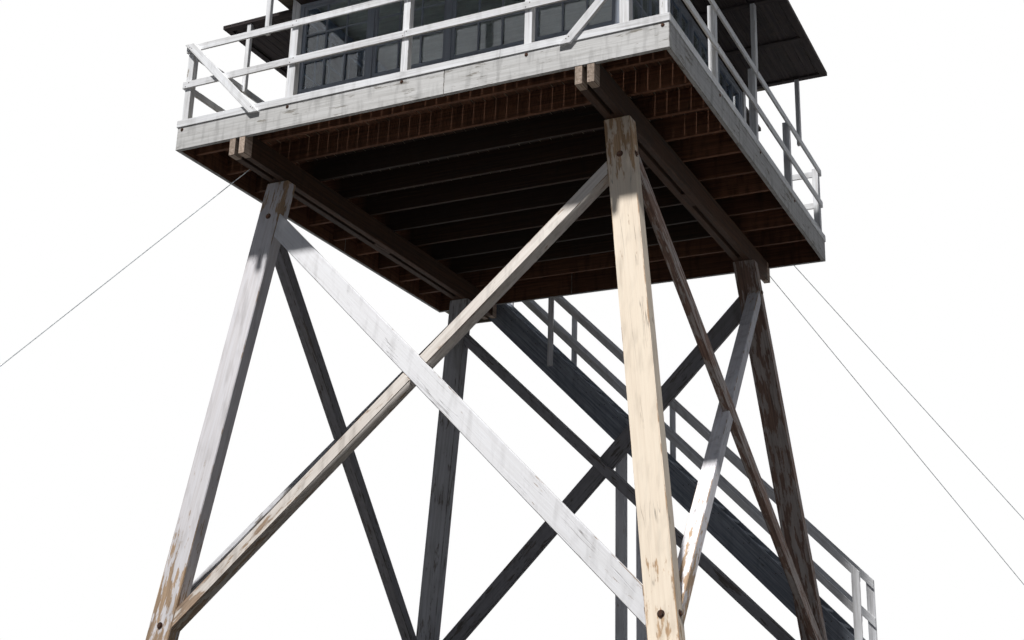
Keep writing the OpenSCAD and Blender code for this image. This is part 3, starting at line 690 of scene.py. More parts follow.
def sash(bm, x0, x1, y0, y1, turn, columns=3, rows=3):
    """A sash with its glazing bars, from the frame's sill to its head."""
    for a, b in ((x0, x0 + SASH_W), (x1 - SASH_W, x1)):
        block(bm, (a, y0, glass_low), (b, y1, glass_high), "z", turn)
    x0, x1, z0, z1 = x0 + SASH_W, x1 - SASH_W, glass_low + SASH_FOOT, glass_high - SASH_W
    for a, b in ((glass_low, z0), (z1, glass_high)):
        block(bm, (x0, y0, a), (x1, y1, b), "x", turn)
    for i in range(1, columns):
        x = x0 + (x1 - x0) * i / columns
        block(bm, (x - BAR_W / 2, y0 + BAR_SETS[0], z0), (x + BAR_W / 2, y1, z1), "z", turn)
    for i in range(1, rows):
        z = z0 + (z1 - z0) * i / rows
        block(bm, (x0, y0 + BAR_SETS[1], z - BAR_W / 2), (x1, y1 - 0.001, z + BAR_W / 2), "x", turn)


def window_row(turn, side, stop, panes):
    bm = start_mesh()
    front, back = -wall_out, -wall_in
    block(bm, (-wall_end, front, sill_z), (stop, back, glass_low), "x", turn)
    block(bm, (-wall_end, front - SILL_OUT, sill_z), (stop, front, sill_z + SILL_T), "x", turn)
    block(bm, (-wall_end, front, glass_high), (stop, back, plate_z), "x", turn)
    for x in (-wall_end, stop - FRAME_W):
        block(bm, (x, front, glass_low), (x + FRAME_W, back, glass_high), "z", turn)
    step = (stop + wall_end) / panes
    edges = [-wall_end + FRAME_W]
    for i in range(1, panes):
        x0 = -wall_end + i * step - MULLION_W / 2
        x1 = -wall_end + i * step + MULLION_W / 2
        block(bm, (x0, front, glass_low), (x1, front + MULLION_T, glass_high), "z", turn)
        edges += [x0, x1]
    edges.append(stop - FRAME_W)
    for x0, x1 in zip(edges[::2], edges[1::2]):
        sash(bm, x0, x1, front + SASH_SET, front + MULLION_T - 0.001, turn)
    finish_piece(bm, side + "_windows_frames", slate_frames, [side + "_windows"],
                 rounding=0.003)


for turn, side in enumerate(SIDES):
    if side == "rear":
        window_row(turn, side, wall_end - DOOR_BAY, PANES - 1)
    else:
        window_row(turn, side, wall_end, PANES)
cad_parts["window_glass"].data.materials.clear()
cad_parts["window_glass"].data.materials.append(glass)

# %% [markdown]
# The door is framed and panelled below and glazed above, hung on strap hinges and shut with a plain
# knob. Its frame fills the last bay of the rear wall. The ceiling is boarded like the lining.

# %% Door and ceiling
door_low, door_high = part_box("door")
frame_low, frame_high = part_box("door_frame")
STILE = 0.130
KICK_RAIL = 0.200
PANEL_TOP = deck_z + 0.950
PANEL_BOARD_W = 0.100
PANEL_SET = 0.012              # the boards of the panel sit this far inside the door's faces
BAR_BACK = 0.018
JAMB = 0.060
DOOR_GAP = 0.004
# In the rear's own frame the door runs from u0, where it hangs, to u1
u0, u1 = -door_high.x, -door_low.x
y0, y1 = -door_high.y, -door_low.y
kick_top = door_low.z + KICK_RAIL
panel_head = PANEL_TOP - STILE
light_top = door_high.z - STILE

bm = start_mesh()
for x in (u0, u1 - STILE):
    block(bm, (x, y0, door_low.z), (x + STILE, y1, door_high.z), "z", 2)
for z0, z1 in ((door_low.z, kick_top), (panel_head, PANEL_TOP), (light_top, door_high.z)):
    block(bm, (u0 + STILE, y0, z0), (u1 - STILE, y1, z1), "x", 2)
boarding(bm, (u0 + STILE, y0 + PANEL_SET, kick_top), (u1 - STILE, y1 - PANEL_SET, panel_head), "z", "x",
         PANEL_BOARD_W, gap=0.003, turn=2)
finish_piece(bm, "door_leaf", slate_paint, ["door"], rounding=0.003)

bm = start_mesh()
x = (u0 + u1) / 2
z = (PANEL_TOP + light_top) / 2
back = y0 + BAR_BACK
block(bm, (x - BAR_W / 2, y0 + BAR_SETS[0], PANEL_TOP), (x + BAR_W / 2, back, light_top), "z", 2)
block(bm, (u0 + STILE, y0 + BAR_SETS[1], z - BAR_W / 2), (u1 - STILE, back, z + BAR_W / 2), "x", 2)
v0, v1 = -frame_high.x, -frame_low.x
for x in (v0, v1 - JAMB):
    block(bm, (x, -wall_out, frame_low.z), (x + JAMB, -wall_in, frame_high.z), "z", 2)
block(bm, (v0 + JAMB, -wall_out, door_high.z + DOOR_GAP), (v1 - JAMB, -wall_in, frame_high.z), "x", 2)
finish_piece(bm, "door_frame_boards", white_paint, ["door_frame"], rounding=0.004)

ceiling_low, ceiling_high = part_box("ceiling")
bm = start_mesh()
boarding(bm, ceiling_low, ceiling_high, "x", "y", LINING_BOARD_W, gap=0.002)
finish_piece(bm, "ceiling_boards", room_paint, ["ceiling"], rounding=0.0015)

# %% [markdown]
# The shutters are the covers of the windows, swung up and propped level: long boards side by side over a
# frame of battens, with a strap hinge at each batten. Square props stand on the rail and carry them.

# %% Shutters and props
BATTEN = 0.090
BATTEN_T = 0.025
BAYS = 4                       # bays between the battens of a shutter
SHUTTER_BOARD_W = 0.125
board_z = shutter_z + BATTEN_T
step_x = (2 * wall_end - BATTEN) / BAYS
boards = start_mesh()
battens = start_mesh()
for turn in range(4):
    boarding(boards, (-wall_end, -shutter_reach, board_z), (wall_end, -wall_out, shutter_top), "x", "y",
             SHUTTER_BOARD_W, turn=turn)
    for y in (-shutter_reach, -wall_out - BATTEN):
        for i in range(BAYS):
            x0 = -wall_end + i * step_x + BATTEN
            block(battens, (x0, y, shutter_z), (x0 + step_x - BATTEN, y + BATTEN, board_z), "x", turn)
    for i in range(BAYS + 1):
        x0 = -wall_end + i * step_x
        block(battens, (x0, -shutter_reach, shutter_z), (x0 + BATTEN, -wall_out, board_z), "y", turn)
finish_piece(boards, "shutter_boards", dark_stain, ["shutters"], rounding=0.003)
finish_piece(battens, "shutter_battens", dark_stain, rounding=0.003)

PROP = 0.060
PROP_MIDDLE = 0.090
PROP_IN = 0.225                # the front and rear end props stand this far inside the end battens
RAIL_T = 0.025
RAIL_W = 0.094
bm = start_mesh()
for turn in range(4):
    out = half_w if turn % 2 == 0 else half_l
    prop_at = wall_end - BATTEN / 2 - (PROP_IN if turn % 2 == 0 else 0)
    prop_top = board_z if turn % 2 == 0 else shutter_z
    for x in (-prop_at, prop_at):
        outline = [(-out, rail_z), (-out, prop_top), (PROP - out, prop_top), (PROP - out, rail_z - RAIL_W),
                   (RAIL_T - out, rail_z - RAIL_W), (RAIL_T - out, rail_z)]
        board(bm, [(x - PROP / 2, y, z) for y, z in outline], (PROP, 0, 0), "z", turn)
    block(bm, (-PROP_MIDDLE / 2, -out, rail_z), (PROP_MIDDLE / 2, PROP - out, shutter_z), "z", turn)
finish_piece(bm, "prop_timbers", white_paint, ["shutter_props"], rounding=0.004)

# %% [markdown]
# Railings are two boards nailed outside a row of posts, joined over a post. The front has a slanting
# board across each end bay, from the corner's top down over the rim.

# %% Railings
POST = 0.090
RAIL_BUTT = 0.003              # gap where two boards of a rail meet
MID_Z = deck_z + 0.490         # height of the middle rail
corner_u = half_l - RAIL_T - POST / 2
corner_v = half_w - RAIL_T - POST / 2
stair_x = stair_low.x


def railing(bm, turn, out, ends, posts, joint=None):
    """Two rails on a row of posts. With a joint, each rail is two boards that meet there."""
    for z in (rail_z - RAIL_W, MID_Z - RAIL_W / 2):
        cuts = [ends[0], joint, ends[1]] if joint is not None else list(ends)
        for x0, x1 in zip(cuts, cuts[1:]):
            gap = RAIL_BUTT if x1 != ends[1] else 0
            block(bm, (x0, -out, z), (x1 - gap, RAIL_T - out, z + RAIL_W), "x", turn)
    front, back = RAIL_T - out, RAIL_T + POST - out
    for x in posts:
        block(bm, (x - POST / 2, front, deck_z), (x + POST / 2, back, rail_z), "z", turn)


SLANT_RUN = 1.100
SLANT_W = 0.100
SLANT_T = 0.040
SLANT_LAP = 0.120
front_posts = [corner_u * u for u in (-1, -0.5, 0, 0.5, 1)]
side_posts = [corner_v * v for v in (-0.5, 0, 0.5)]
rail_end = half_w - RAIL_T
# For each side its quarter turn, its distance from the middle and its posts
post_rows = [(0, half_w, front_posts), (1, half_l, side_posts), (2, half_w, front_posts[:4]),
             (3, half_l, [-corner_v] + side_posts)]
rail_ends = [(-half_l, half_l), (-rail_end, rail_end), (-half_l, -stair_x), (-half_w, rail_end)]


def slanting_boards(bm):
    """The boards across the front's end bays."""
    drop = rail_z - deck_z + SLANT_LAP
    across = SLANT_W * math.hypot(SLANT_RUN, drop) / drop
    for m in (-1, 1):
        outline = [(-half_l, rail_z), (across - half_l, rail_z), (SLANT_RUN + across - half_l, rail_z - drop),
                   (SLANT_RUN - half_l, rail_z - drop)]
        board(bm, [(m * x, -half_w - SLANT_T, z) for x, z in outline], (0, SLANT_T, 0),
              (m * SLANT_RUN, 0, -drop))


for side, (turn, out, posts), ends in zip(SIDES, post_rows, rail_ends):
    bm = start_mesh()
    by_stair = [-stair_x - POST / 2] if side == "rear" else []
    railing(bm, turn, out, ends, posts + by_stair, joint=0.0)
    if side == "front":
        slanting_boards(bm)
    finish_piece(bm, side + "_railing_boards", white_paint, [side + "_railing"])

# %% [markdown]
# The landing hangs on the rear rim: planks on a box of joists, with railings on its two outer sides.
# From it one straight flight runs down along the rear, with open treads between two deep stringers.

# %% Landing
bm = start_mesh()
y_in, y_out = landing_low.y, landing_high.y
boarding(bm, (-half_l, y_in, deck_under), (stair_x, y_out, deck_z), "x", "y", PLANK_W, gap=0.006)
block(bm, (-half_l, y_in, joist_z), (-half_l + RIM_T, y_out, deck_under), "y")
block(bm, (stair_x - RIM_T, y_in, joist_z), (stair_x, y_out, deck_under), "y")
for y in (y_in, y_out - RIM_T):
    block(bm, (-half_l + RIM_T, y, joist_z), (stair_x - RIM_T, y + RIM_T, deck_under), "x")
finish_piece(bm, "landing_planks", grey_fir, ["stair_landing"], rounding=0.003)

bm = start_mesh()
for z in (rail_z - RAIL_W, MID_Z - RAIL_W / 2):
    block(bm, (-half_l, y_in, z), (RAIL_T - half_l, y_out - RAIL_T, z + RAIL_W), "y")
finish_piece(bm, "landing_side_rail_boards", white_paint, ["landing_side_railing"])
bm = start_mesh()
railing(bm, 2, y_out, (-stair_x, half_l), [corner_u])
finish_piece(bm, "landing_rear_rail_boards", white_paint, ["landing_rear_railing"])

# %% [markdown]
# The flight: stringers cut to the slope, open treads housed between them with a hollow worn in the
# middle of each front edge, and two posts under it.

# %% Stair
STRINGER_T = 0.050
STRINGER_V = 0.500
RISERS = 30
GOING = 0.220
TREAD_T = 0.040
TREAD_D = 0.200
TREAD_IN = 0.010
stair_foot = stair_high.x
fall = deck_z / (stair_foot - stair_x)
y_in, y_out = stair_low.y, stair_high.y
slope = Vector((1, 0, -fall))


def nose_z(x):
    """Height of the line of the treads over a place along the flight."""
    return deck_z - fall * (x - stair_x)


bm = start_mesh()
for y in (y_in, y_out - STRINGER_T):
    outline = [(stair_x, deck_z), (stair_foot, 0), (stair_foot - STRINGER_V / fall, 0),
               (stair_x, deck_z - STRINGER_V)]
    board(bm, [(x, y, z) for x, z in outline], (0, STRINGER_T, 0), slope)
finish_piece(bm, "stringer_planks", silver_fir, ["stair_stringers"], rounding=0.005)

WEAR = 0.006                   # depth of the hollow in a tread's middle
HOLLOW = 2.2                   # half its length, in sixths of the tread
bm = start_mesh()
for i in range(1, RISERS):
    x = stair_x + i * GOING - TREAD_IN
    z = deck_z - i * deck_z / RISERS
    a, b = y_in + STRINGER_T, y_out - STRINGER_T
    ys = [a + (b - a) * k / 6 for k in range(7)]
    worn = [z - WEAR * max(0, 1 - abs(k - 3) / HOLLOW) * rng.uniform(0.6, 1.2) for k in range(7)]
    outline = [(b, z - TREAD_T), (a, z - TREAD_T)] + list(zip(ys, worn))
    board(bm, [(x, y, h) for y, h in outline], (-TREAD_D, 0, 0), "y")
finish_piece(bm, "tread_planks", silver_fir, ["stair_treads"], rounding=0.004)

bent_low, bent_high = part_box("stair_posts")
BENT = bent_high.x - bent_low.x
bm = start_mesh()
for y in (bent_low.y, bent_high.y - BENT):
    outline = [(bent_low.x, 0), (bent_high.x, 0), (bent_high.x, nose_z(bent_high.x) - STRINGER_V),
               (bent_low.x, nose_z(bent_low.x) - STRINGER_V)]
    board(bm, [(x, y, z) for x, z in outline], (0, BENT, 0), "z")
finish_piece(bm, "stair_post_timbers", pale_fir, ["stair_posts"], rounding=0.006)

# %% [markdown]
# Sloping rails run down both sides, each joined over its third post. The posts are bolted to the
# stringers' faces, and at the foot a newel stands on the ground.

# %% Stair rails
HAND_Z = 0.900                 # heights of the two rails' middles over the line of the treads
KNEE_Z = 0.370
NEWEL = 0.110
stair_gap = y_in - half_w
rail_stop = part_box("stair_rails")[1].x
newel_x = rail_stop - NEWEL / 2
rail_v = RAIL_W * math.hypot(1, fall)
POST_XS = (stair_x + POST / 2, stair_x + 1.220, stair_x + 2.900)
POST_LAP = 0.300


def stair_post(bm, x, width, foot, y):
    head = HAND_Z + rail_v / 2
    outline = [(x - width / 2, foot), (x + width / 2, foot), (x + width / 2, nose_z(x + width / 2) + head),
               (x - width / 2, nose_z(x - width / 2) + head)]
    board(bm, [(px, y, z) for px, z in outline], (0, stair_gap, 0), "z")


bm = start_mesh()
for post_y, board_y in ((half_w, y_in), (y_out, y_out - RAIL_T)):
    for height in (KNEE_Z, HAND_Z):
        for x0, x1 in ((stair_x, POST_XS[2] - BUTT / 2), (POST_XS[2] + BUTT / 2, rail_stop)):
            outline = [(x0, nose_z(x0) + height - rail_v / 2), (x1, nose_z(x1) + height - rail_v / 2),
                       (x1, nose_z(x1) + height + rail_v / 2), (x0, nose_z(x0) + height + rail_v / 2)]
            board(bm, [(x, board_y, z) for x, z in outline], (0, RAIL_T, 0), slope)
    for x in POST_XS:
        stair_post(bm, x, POST, nose_z(x) - POST_LAP, post_y)
    stair_post(bm, newel_x, NEWEL, 0.0, post_y)
finish_piece(bm, "stair_rail_boards", white_paint, ["stair_rails"])

# %% [markdown]
# Shingles, wire rope and bolts are grown by Geometry Nodes. Each tree has named inputs, makes real
# geometry and gives it its material. It is run once on a mesh, and only the plain result is kept.

# %% Geometry Nodes helpers
def start_tree(name, sizes, on_mesh=True):
    """A Geometry Nodes tree with its inputs: a mesh to work on, named sizes and a material."""
    tree = bpy.data.node_groups.new(name, "GeometryNodeTree")
    wanted = [("Geometry", "Geometry")] if on_mesh else []
    wanted += [(size, "Float") for size in sizes] + [("Material", "Material")]
    for label, kind in wanted:
        tree.interface.new_socket(label, in_out="INPUT", socket_type="NodeSocket" + kind)
    tree.interface.new_socket("Geometry", in_out="OUTPUT", socket_type="NodeSocketGeometry")
    return tree, add(tree, "NodeGroupInput").outputs


def end_tree(tree, shape, given):
    """Gives the tree's real geometry its material and sends it out."""
    coated = add(tree, "GeometryNodeSetMaterial", {"Geometry": shape, "Material": given["Material"]})
    add(tree, "NodeGroupOutput", {0: coated})
    return tree


def grow(tree, name, mesh=None, **values):
    """Runs a Geometry Nodes tree on a mesh and returns the result as a plain mesh."""
    base = bpy.data.objects.new(name, mesh or bpy.data.meshes.new(name))
    modifier = base.modifiers.new("nodes", "NODES")
    modifier.node_group = tree
    sockets = {item.name: item.identifier for item in tree.interface.items_tree if item.in_out == "INPUT"}
    for key, value in values.items():
        modifier[sockets[key]] = value
    bpy.context.scene.collection.objects.link(base)
    seen = base.evaluated_get(bpy.context.evaluated_depsgraph_get())
    result = bpy.data.meshes.new_from_object(seen)
    base.modifiers.clear()
    bpy.data.objects.remove(base)
    return result


# %% [markdown]
# The roof is a low hip covered with split shingles. One tree lays a field of them: a grid of points,
# every second course shifted by half a shingle, on each point a shingle with its own width, turn and
# tone, and then real geometry.

# %% Shingle field
roof_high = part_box("roof")[1]
eave = roof_high.x
FASCIA = 0.090
COURSE = 0.175
SHINGLE_W = 0.155
SHINGLE_T = 0.016
LAPPED = 1.9                   # a shingle's length, in courses
SLIP = 0.11                    # how far one may slip sideways, in widths
DROP = 0.006                   # how far one may sit up or down the slope, in metres
NARROW = (0.80, 0.985)         # the range of their widths, in steps of the field
TWIST = 0.012                  # how far one may be turned, in radians
FIELD_SPARE = 0.400            # the field is this much longer than the eaves
COVER = 0.034                  # the shingles' depth over the skin
edge_top = plate_z + FASCIA
rise = roof_high.z - edge_top
slope_len = math.hypot(eave, rise)
roof_angle = math.atan2(rise, eave)


def shingle_tree():
    tree, given = start_tree("shingle_field", ("Length", "Depth", "Course", "Width", "Thickness"), False)
    columns = add(tree, "ShaderNodeMath", {0: given["Length"], 1: given["Width"]}, operation="DIVIDE")
    columns = add(tree, "ShaderNodeMath", {0: columns, 1: 3.0}, operation="ADD")
    rows = add(tree, "ShaderNodeMath", {0: given["Depth"], 1: given["Course"]}, operation="DIVIDE")
    rows = add(tree, "ShaderNodeMath", {0: rows, 1: 1.0}, operation="ADD")
    rows = add(tree, "ShaderNodeMath", {0: rows}, operation="FLOOR")
    columns = add(tree, "ShaderNodeMath", {0: columns}, operation="FLOOR")
    total = add(tree, "ShaderNodeMath", {0: rows, 1: columns}, operation="MULTIPLY")
    points = add(tree, "GeometryNodePoints", {"Count": total})
    index = add(tree, "GeometryNodeInputIndex")
    row = add(tree, "ShaderNodeMath", {0: index, 1: columns}, operation="DIVIDE")
    row = add(tree, "ShaderNodeMath", {0: row}, operation="FLOOR")
    column = add(tree, "ShaderNodeMath", {0: index, 1: columns}, operation="MODULO")
    odd = add(tree, "ShaderNodeMath", {0: row, 1: 2.0}, operation="MODULO")
    stagger = add(tree, "ShaderNodeMath", {0: odd, 1: 0.5, 2: column}, operation="MULTIPLY_ADD")
    slip = add(tree, "FunctionNodeRandomValue", {"Min": -SLIP, "Max": SLIP, "Seed": 3}, data_type="FLOAT")
    stagger = add(tree, "ShaderNodeMath", {0: stagger, 1: slip}, operation="ADD")
    half = add(tree, "ShaderNodeMath", {0: given["Length"], 1: -0.5}, operation="MULTIPLY")
    x = add(tree, "ShaderNodeMath", {0: stagger, 1: given["Width"], 2: half}, operation="MULTIPLY_ADD")
    drop = add(tree, "FunctionNodeRandomValue", {"Min": -DROP, "Max": DROP, "Seed": 8}, data_type="FLOAT")
    y = add(tree, "ShaderNodeMath", {0: row, 1: given["Course"], 2: drop}, operation="MULTIPLY_ADD")
    place = add(tree, "ShaderNodeCombineXYZ", {0: x, 1: y})
    placed = add(tree, "GeometryNodeSetPosition", {"Geometry": points, "Position": place})
    # A shingle laps under the next two courses and lies at a slight tilt on them
    lap = add(tree, "ShaderNodeMath", {0: given["Course"], 1: LAPPED}, operation="MULTIPLY")
    size = add(tree, "ShaderNodeCombineXYZ", {0: given["Width"], 1: lap, 2: given["Thickness"]})
    shingle = add(tree, "GeometryNodeMeshCube", {"Size": size})
    back = add(tree, "ShaderNodeMath", {0: lap, 1: 0.5}, operation="MULTIPLY")
    lift = add(tree, "ShaderNodeMath", {0: given["Thickness"], 1: 0.5}, operation="MULTIPLY")
    seat = add(tree, "ShaderNodeCombineXYZ", {1: back, 2: lift})
    tilt = math.asin(SHINGLE_T / COURSE) * 0.75
    shingle = add(tree, "GeometryNodeTransform", {"Geometry": shingle, "Translation": seat})
    shingle = add(tree, "GeometryNodeTransform", {"Geometry": shingle, "Rotation": (-tilt, 0, 0),
                                                  "Translation": (0, 0, SHINGLE_T * 1.35)})
    # Its own coordinates, as the boards have: the first one runs up the slope, the second one across
    spot = add(tree, "GeometryNodeInputPosition")
    parts = add(tree, "ShaderNodeSeparateXYZ", {0: spot}).outputs
    swap = add(tree, "ShaderNodeCombineXYZ", {0: parts[1], 1: parts[0], 2: parts[2]})
    shingle = add(tree, "GeometryNodeStoreNamedAttribute",
                  {"Geometry": shingle, "Name": "grain", "Value": swap},
                  data_type="FLOAT_VECTOR", domain="POINT")
    narrow = add(tree, "FunctionNodeRandomValue", {"Min": NARROW[0], "Max": NARROW[1], "Seed": 5},
                 data_type="FLOAT")
    scale = add(tree, "ShaderNodeCombineXYZ", {0: narrow, 1: 1.0, 2: 1.0})
    twist = add(tree, "FunctionNodeRandomValue", {"Min": -TWIST, "Max": TWIST, "Seed": 6}, data_type="FLOAT")
    turn = add(tree, "ShaderNodeCombineXYZ", {2: twist})
    laid = add(tree, "GeometryNodeInstanceOnPoints", {"Points": placed, "Instance": shingle, "Rotation": turn,
                                                      "Scale": scale})
    own = add(tree, "FunctionNodeRandomValue", {"Min": (-30, -30, -30), "Max": (30, 30, 30), "Seed": 9},
              data_type="FLOAT_VECTOR")
    tagged = add(tree, "GeometryNodeStoreNamedAttribute", {"Geometry": laid, "Name": "start", "Value": own},
                 data_type="FLOAT_VECTOR", domain="INSTANCE")
    real = add(tree, "GeometryNodeRealizeInstances", {"Geometry": tagged})
    begin = add(tree, "GeometryNodeInputNamedAttribute", {"Name": "start"}, data_type="FLOAT_VECTOR")
    plain = add(tree, "GeometryNodeInputNamedAttribute", {"Name": "grain"}, data_type="FLOAT_VECTOR")
    shifted = add(tree, "ShaderNodeVectorMath", {0: begin, 1: plain}, operation="ADD")
    final = add(tree, "GeometryNodeStoreNamedAttribute",
                {"Geometry": real, "Name": "grain", "Value": shifted},
                data_type="FLOAT_VECTOR", domain="POINT")
    return end_tree(tree, final, given)


field = grow(shingle_tree(), "field", Length=2 * eave + FIELD_SPARE, Depth=slope_len, Course=COURSE,
             Width=SHINGLE_W, Thickness=SHINGLE_T, Material=cedar)
print("shingle field", len(field.polygons), "faces")

# %% [markdown]
# The field is cut along the hips and turned to the four slopes. Under the shingles lies the roof's skin:
# a shell a little lower than the CAD surface, so that the shingles end up on it. Cedar boards cover the
# hips, and a painted fascia closes the eaves.

# %% Roof
bm = start_mesh()
bm.from_mesh(field)
lay = Matrix.Translation((0, -eave, edge_top - COVER)) @ Matrix.Rotation(roof_angle, 4, "X")
bmesh.ops.transform(bm, matrix=lay, verts=bm.verts)
for sign in (-1, 1):
    bmesh.ops.bisect_plane(bm, geom=bm.verts[:] + bm.edges[:] + bm.faces[:], plane_co=(0, 0, 0),
                           plane_no=(sign, 1, 0), clear_outer=True)
loose = [e for e in bm.edges if e.is_boundary]
bmesh.ops.holes_fill(bm, edges=loose, sides=8)
piece = bm.copy()
for i in (1, 2, 3):
    other = piece.copy()
    bmesh.ops.transform(other, matrix=Matrix.Rotation(i * QUARTER, 4, "Z"), verts=other.verts)
    spare = bpy.data.meshes.new("spare")
    other.to_mesh(spare)
    bm.from_mesh(spare)
    other.free()
    bpy.data.meshes.remove(spare)
piece.free()
for v in bm.verts:
    v.co.z = min(v.co.z, roof_high.z - 0.001)
finish_piece(bm, "roof_shingles", cedar, rounding=0)

SKIN_IN = 0.004                # the skin's eaves stay this far behind the fascia's face
bm = cad_copy("roof")
for v in bm.verts:
    if v.co.z > plate_z + 0.001:
        v.co.z -= COVER
    v.co.x *= 1 - SKIN_IN / eave
    v.co.y *= 1 - SKIN_IN / eave
mark_grain(bm, bm.verts[:], AXES["x"])
finish_piece(bm, "roof_skin", grey_fir, ["roof"], rounding=0)

FASCIA_T = 0.020
bm = start_mesh()
for turn in range(4):
    block(bm, (-eave, -eave, plate_z + 0.002), (eave - FASCIA_T, FASCIA_T - eave, edge_top - COVER), "x",
          turn)
finish_piece(bm, "roof_fascia", white_paint, rounding=0.002)

HIP_W = 0.110
HIP_T = 0.012
HIP_NARROW = 0.4               # a hip board's width at the peak, as a share of that at its foot
HIP_IN = 0.010
PEAK_DROP = 0.020              # the boards stop this far under the roof's top
bm = start_mesh()
for turn in range(4):
    foot = Vector((eave - HIP_IN, HIP_IN - eave, edge_top - HIP_T))
    head = Vector((0, 0, roof_high.z - PEAK_DROP))
    for way in (-1, 1):
        flat = Vector((way, way, 0)).normalized()
        side = (flat + Vector((0, 0, -math.tan(roof_angle) * math.sqrt(0.5)))).normalized() * HIP_W
        board(bm, [foot, foot + side, head + side * HIP_NARROW, head], (0, 0, HIP_T), head - foot, turn)
finish_piece(bm, "hip_boards", cedar, rounding=0.002)

# %% [markdown]
# The guys are wire rope of six strands laid round each other. A Geometry Nodes tree follows each wire's
# line: it resamples the line, turns a six-lobed outline a little more at every step, and sweeps it.

# %% Guy wires
ROPE_D = 0.012
LAY = 0.110                    # length in which a strand goes round once
TURN_STEPS = 8                 # steps of the sweep in one such turn
STRANDS = 6
ANCHOR_X = 7.200
ANCHOR_Y = 5.900
ANCHOR_STEP = 0.850            # the two rear anchors stand this far apart
ANCHOR_TOP = 0.150
LUG_H = 0.120
LEFT_HEAD_Y = -2.800           # the left wire's head along the girder
REAR_HEAD_X = 2.700            # the outer rear wire's head along the rim
HEAD_LIFT = 0.050              # the rear heads' distance above and below the rim's lower edge
LINE_START = 0.050             # a wire starts this far from the middle of its plate
anchor_z = ANCHOR_TOP + LUG_H / 2
anchors = [Vector((-ANCHOR_X, -ANCHOR_Y, anchor_z)), Vector((ANCHOR_X, ANCHOR_Y, anchor_z)),
           Vector((ANCHOR_X - ANCHOR_STEP, ANCHOR_Y, anchor_z))]
heads = [Vector((-girder_out, LEFT_HEAD_Y, (leg_top + joist_z) / 2)),
         Vector((REAR_HEAD_X, half_w, rim_z + HEAD_LIFT)),
         Vector((girder_out - GIRDER_T / 2, half_w, rim_z - HEAD_LIFT))]


def rope_tree():
    tree, given = start_tree("wire_rope", ("Diameter", "Lay"))
    line = add(tree, "GeometryNodeMeshToCurve", {"Mesh": given["Geometry"]})
    pace = add(tree, "ShaderNodeMath", {0: given["Lay"], 1: TURN_STEPS}, operation="DIVIDE")
    steps = add(tree, "GeometryNodeResampleCurve", {"Curve": line, "Length": pace}, mode="LENGTH")
    index = add(tree, "GeometryNodeInputIndex")
    angle = add(tree, "ShaderNodeMath", {0: index, 1: math.tau / TURN_STEPS}, operation="MULTIPLY")
    twisted = add(tree, "GeometryNodeSetCurveTilt", {"Curve": steps, "Tilt": angle})
    # The outline has two points for each strand: one on its crown and one in the groove beside it
    outline = add(tree, "GeometryNodeCurvePrimitiveCircle", {"Resolution": 2 * STRANDS, "Radius": 1.0})
    lobe = add(tree, "ShaderNodeMath", {0: index, 1: 2.0}, operation="MODULO")
    reach = add(tree, "ShaderNodeMapRange", {"Value": lobe, **span(0.0, 1.0, 0.36, 0.5)})
    reach = add(tree, "ShaderNodeMath", {0: reach, 1: given["Diameter"]}, operation="MULTIPLY")
    spot = add(tree, "GeometryNodeInputPosition")
    spot = add(tree, "ShaderNodeVectorMath", {0: spot, 3: reach}, operation="SCALE")
    lobed = add(tree, "GeometryNodeSetPosition", {"Geometry": outline, "Position": spot})
    swept = add(tree, "GeometryNodeCurveToMesh",
                {"Curve": twisted, "Profile Curve": lobed, "Fill Caps": True})
    real = add(tree, "GeometryNodeRealizeInstances", {"Geometry": swept})
    return end_tree(tree, real, given)


lines = bpy.data.meshes.new("lines")
ends = []
for low, high in zip(anchors, heads):
    ends += [low + (high - low).normalized() * LINE_START, high]
lines.from_pydata([tuple(p) for p in ends], [(0, 1), (2, 3), (4, 5)], [])
rope = grow(rope_tree(), "guys", lines, Diameter=ROPE_D, Lay=LAY, Material=zinc)
bm = start_mesh()
bm.from_mesh(rope)
finish_piece(bm, "guy_ropes", zinc, ["guy_wires"], rounding=0)

# %% [markdown]
# Footings and anchor blocks are cast in board forms: their arrises are broken, and their tops are a
# little uneven. A steel plate stands in each anchor block and takes the end of its wire.

# %% Footings and anchors
UNEVEN_CAST = 0.0015


def cast_block(bm, low, high):
    """A concrete block, smaller by what its faces may be uneven."""
    made = bmesh.ops.create_cube(bm, size=1)["verts"]
    low = Vector(low) + UNEVEN_CAST * Vector((1, 1, 0))
    size = Vector(high) - UNEVEN_CAST * Vector((1, 1, 1)) - low
    for v in made:
        v.co = Vector([low[i] + size[i] * (v.co[i] + 0.5) for i in range(3)])
    # Each edge once, in a fixed order, so that every run gives the same mesh
    sides = list(dict.fromkeys(e for v in made for e in v.link_edges))
    bmesh.ops.subdivide_edges(bm, edges=sides, cuts=5, use_grid_fill=True)


def finish_concrete(bm, name, nodes):
    for v in bm.verts:
        if v.co.z > 0.01:
            v.co += noise.noise_vector(v.co * 9.0) * UNEVEN_CAST
    return finish_piece(bm, name, concrete, nodes, rounding=0)


foot_low, foot_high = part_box("leg_footings")
FOOTING = 0.500
bm = start_mesh()
for x in (foot_low.x, foot_high.x - FOOTING):
    for y in (foot_low.y, foot_high.y - FOOTING):
        cast_block(bm, (x, y, 0), (x + FOOTING, y + FOOTING, footing_z))
finish_concrete(bm, "footing_blocks", ["leg_footings"])

ANCHOR = 0.300
bm = start_mesh()
for p in anchors:
    cast_block(bm, (p.x - ANCHOR / 2, p.y - ANCHOR / 2, 0), (p.x + ANCHOR / 2, p.y + ANCHOR / 2, ANCHOR_TOP))
finish_concrete(bm, "anchor_blocks", ["guy_anchors"])

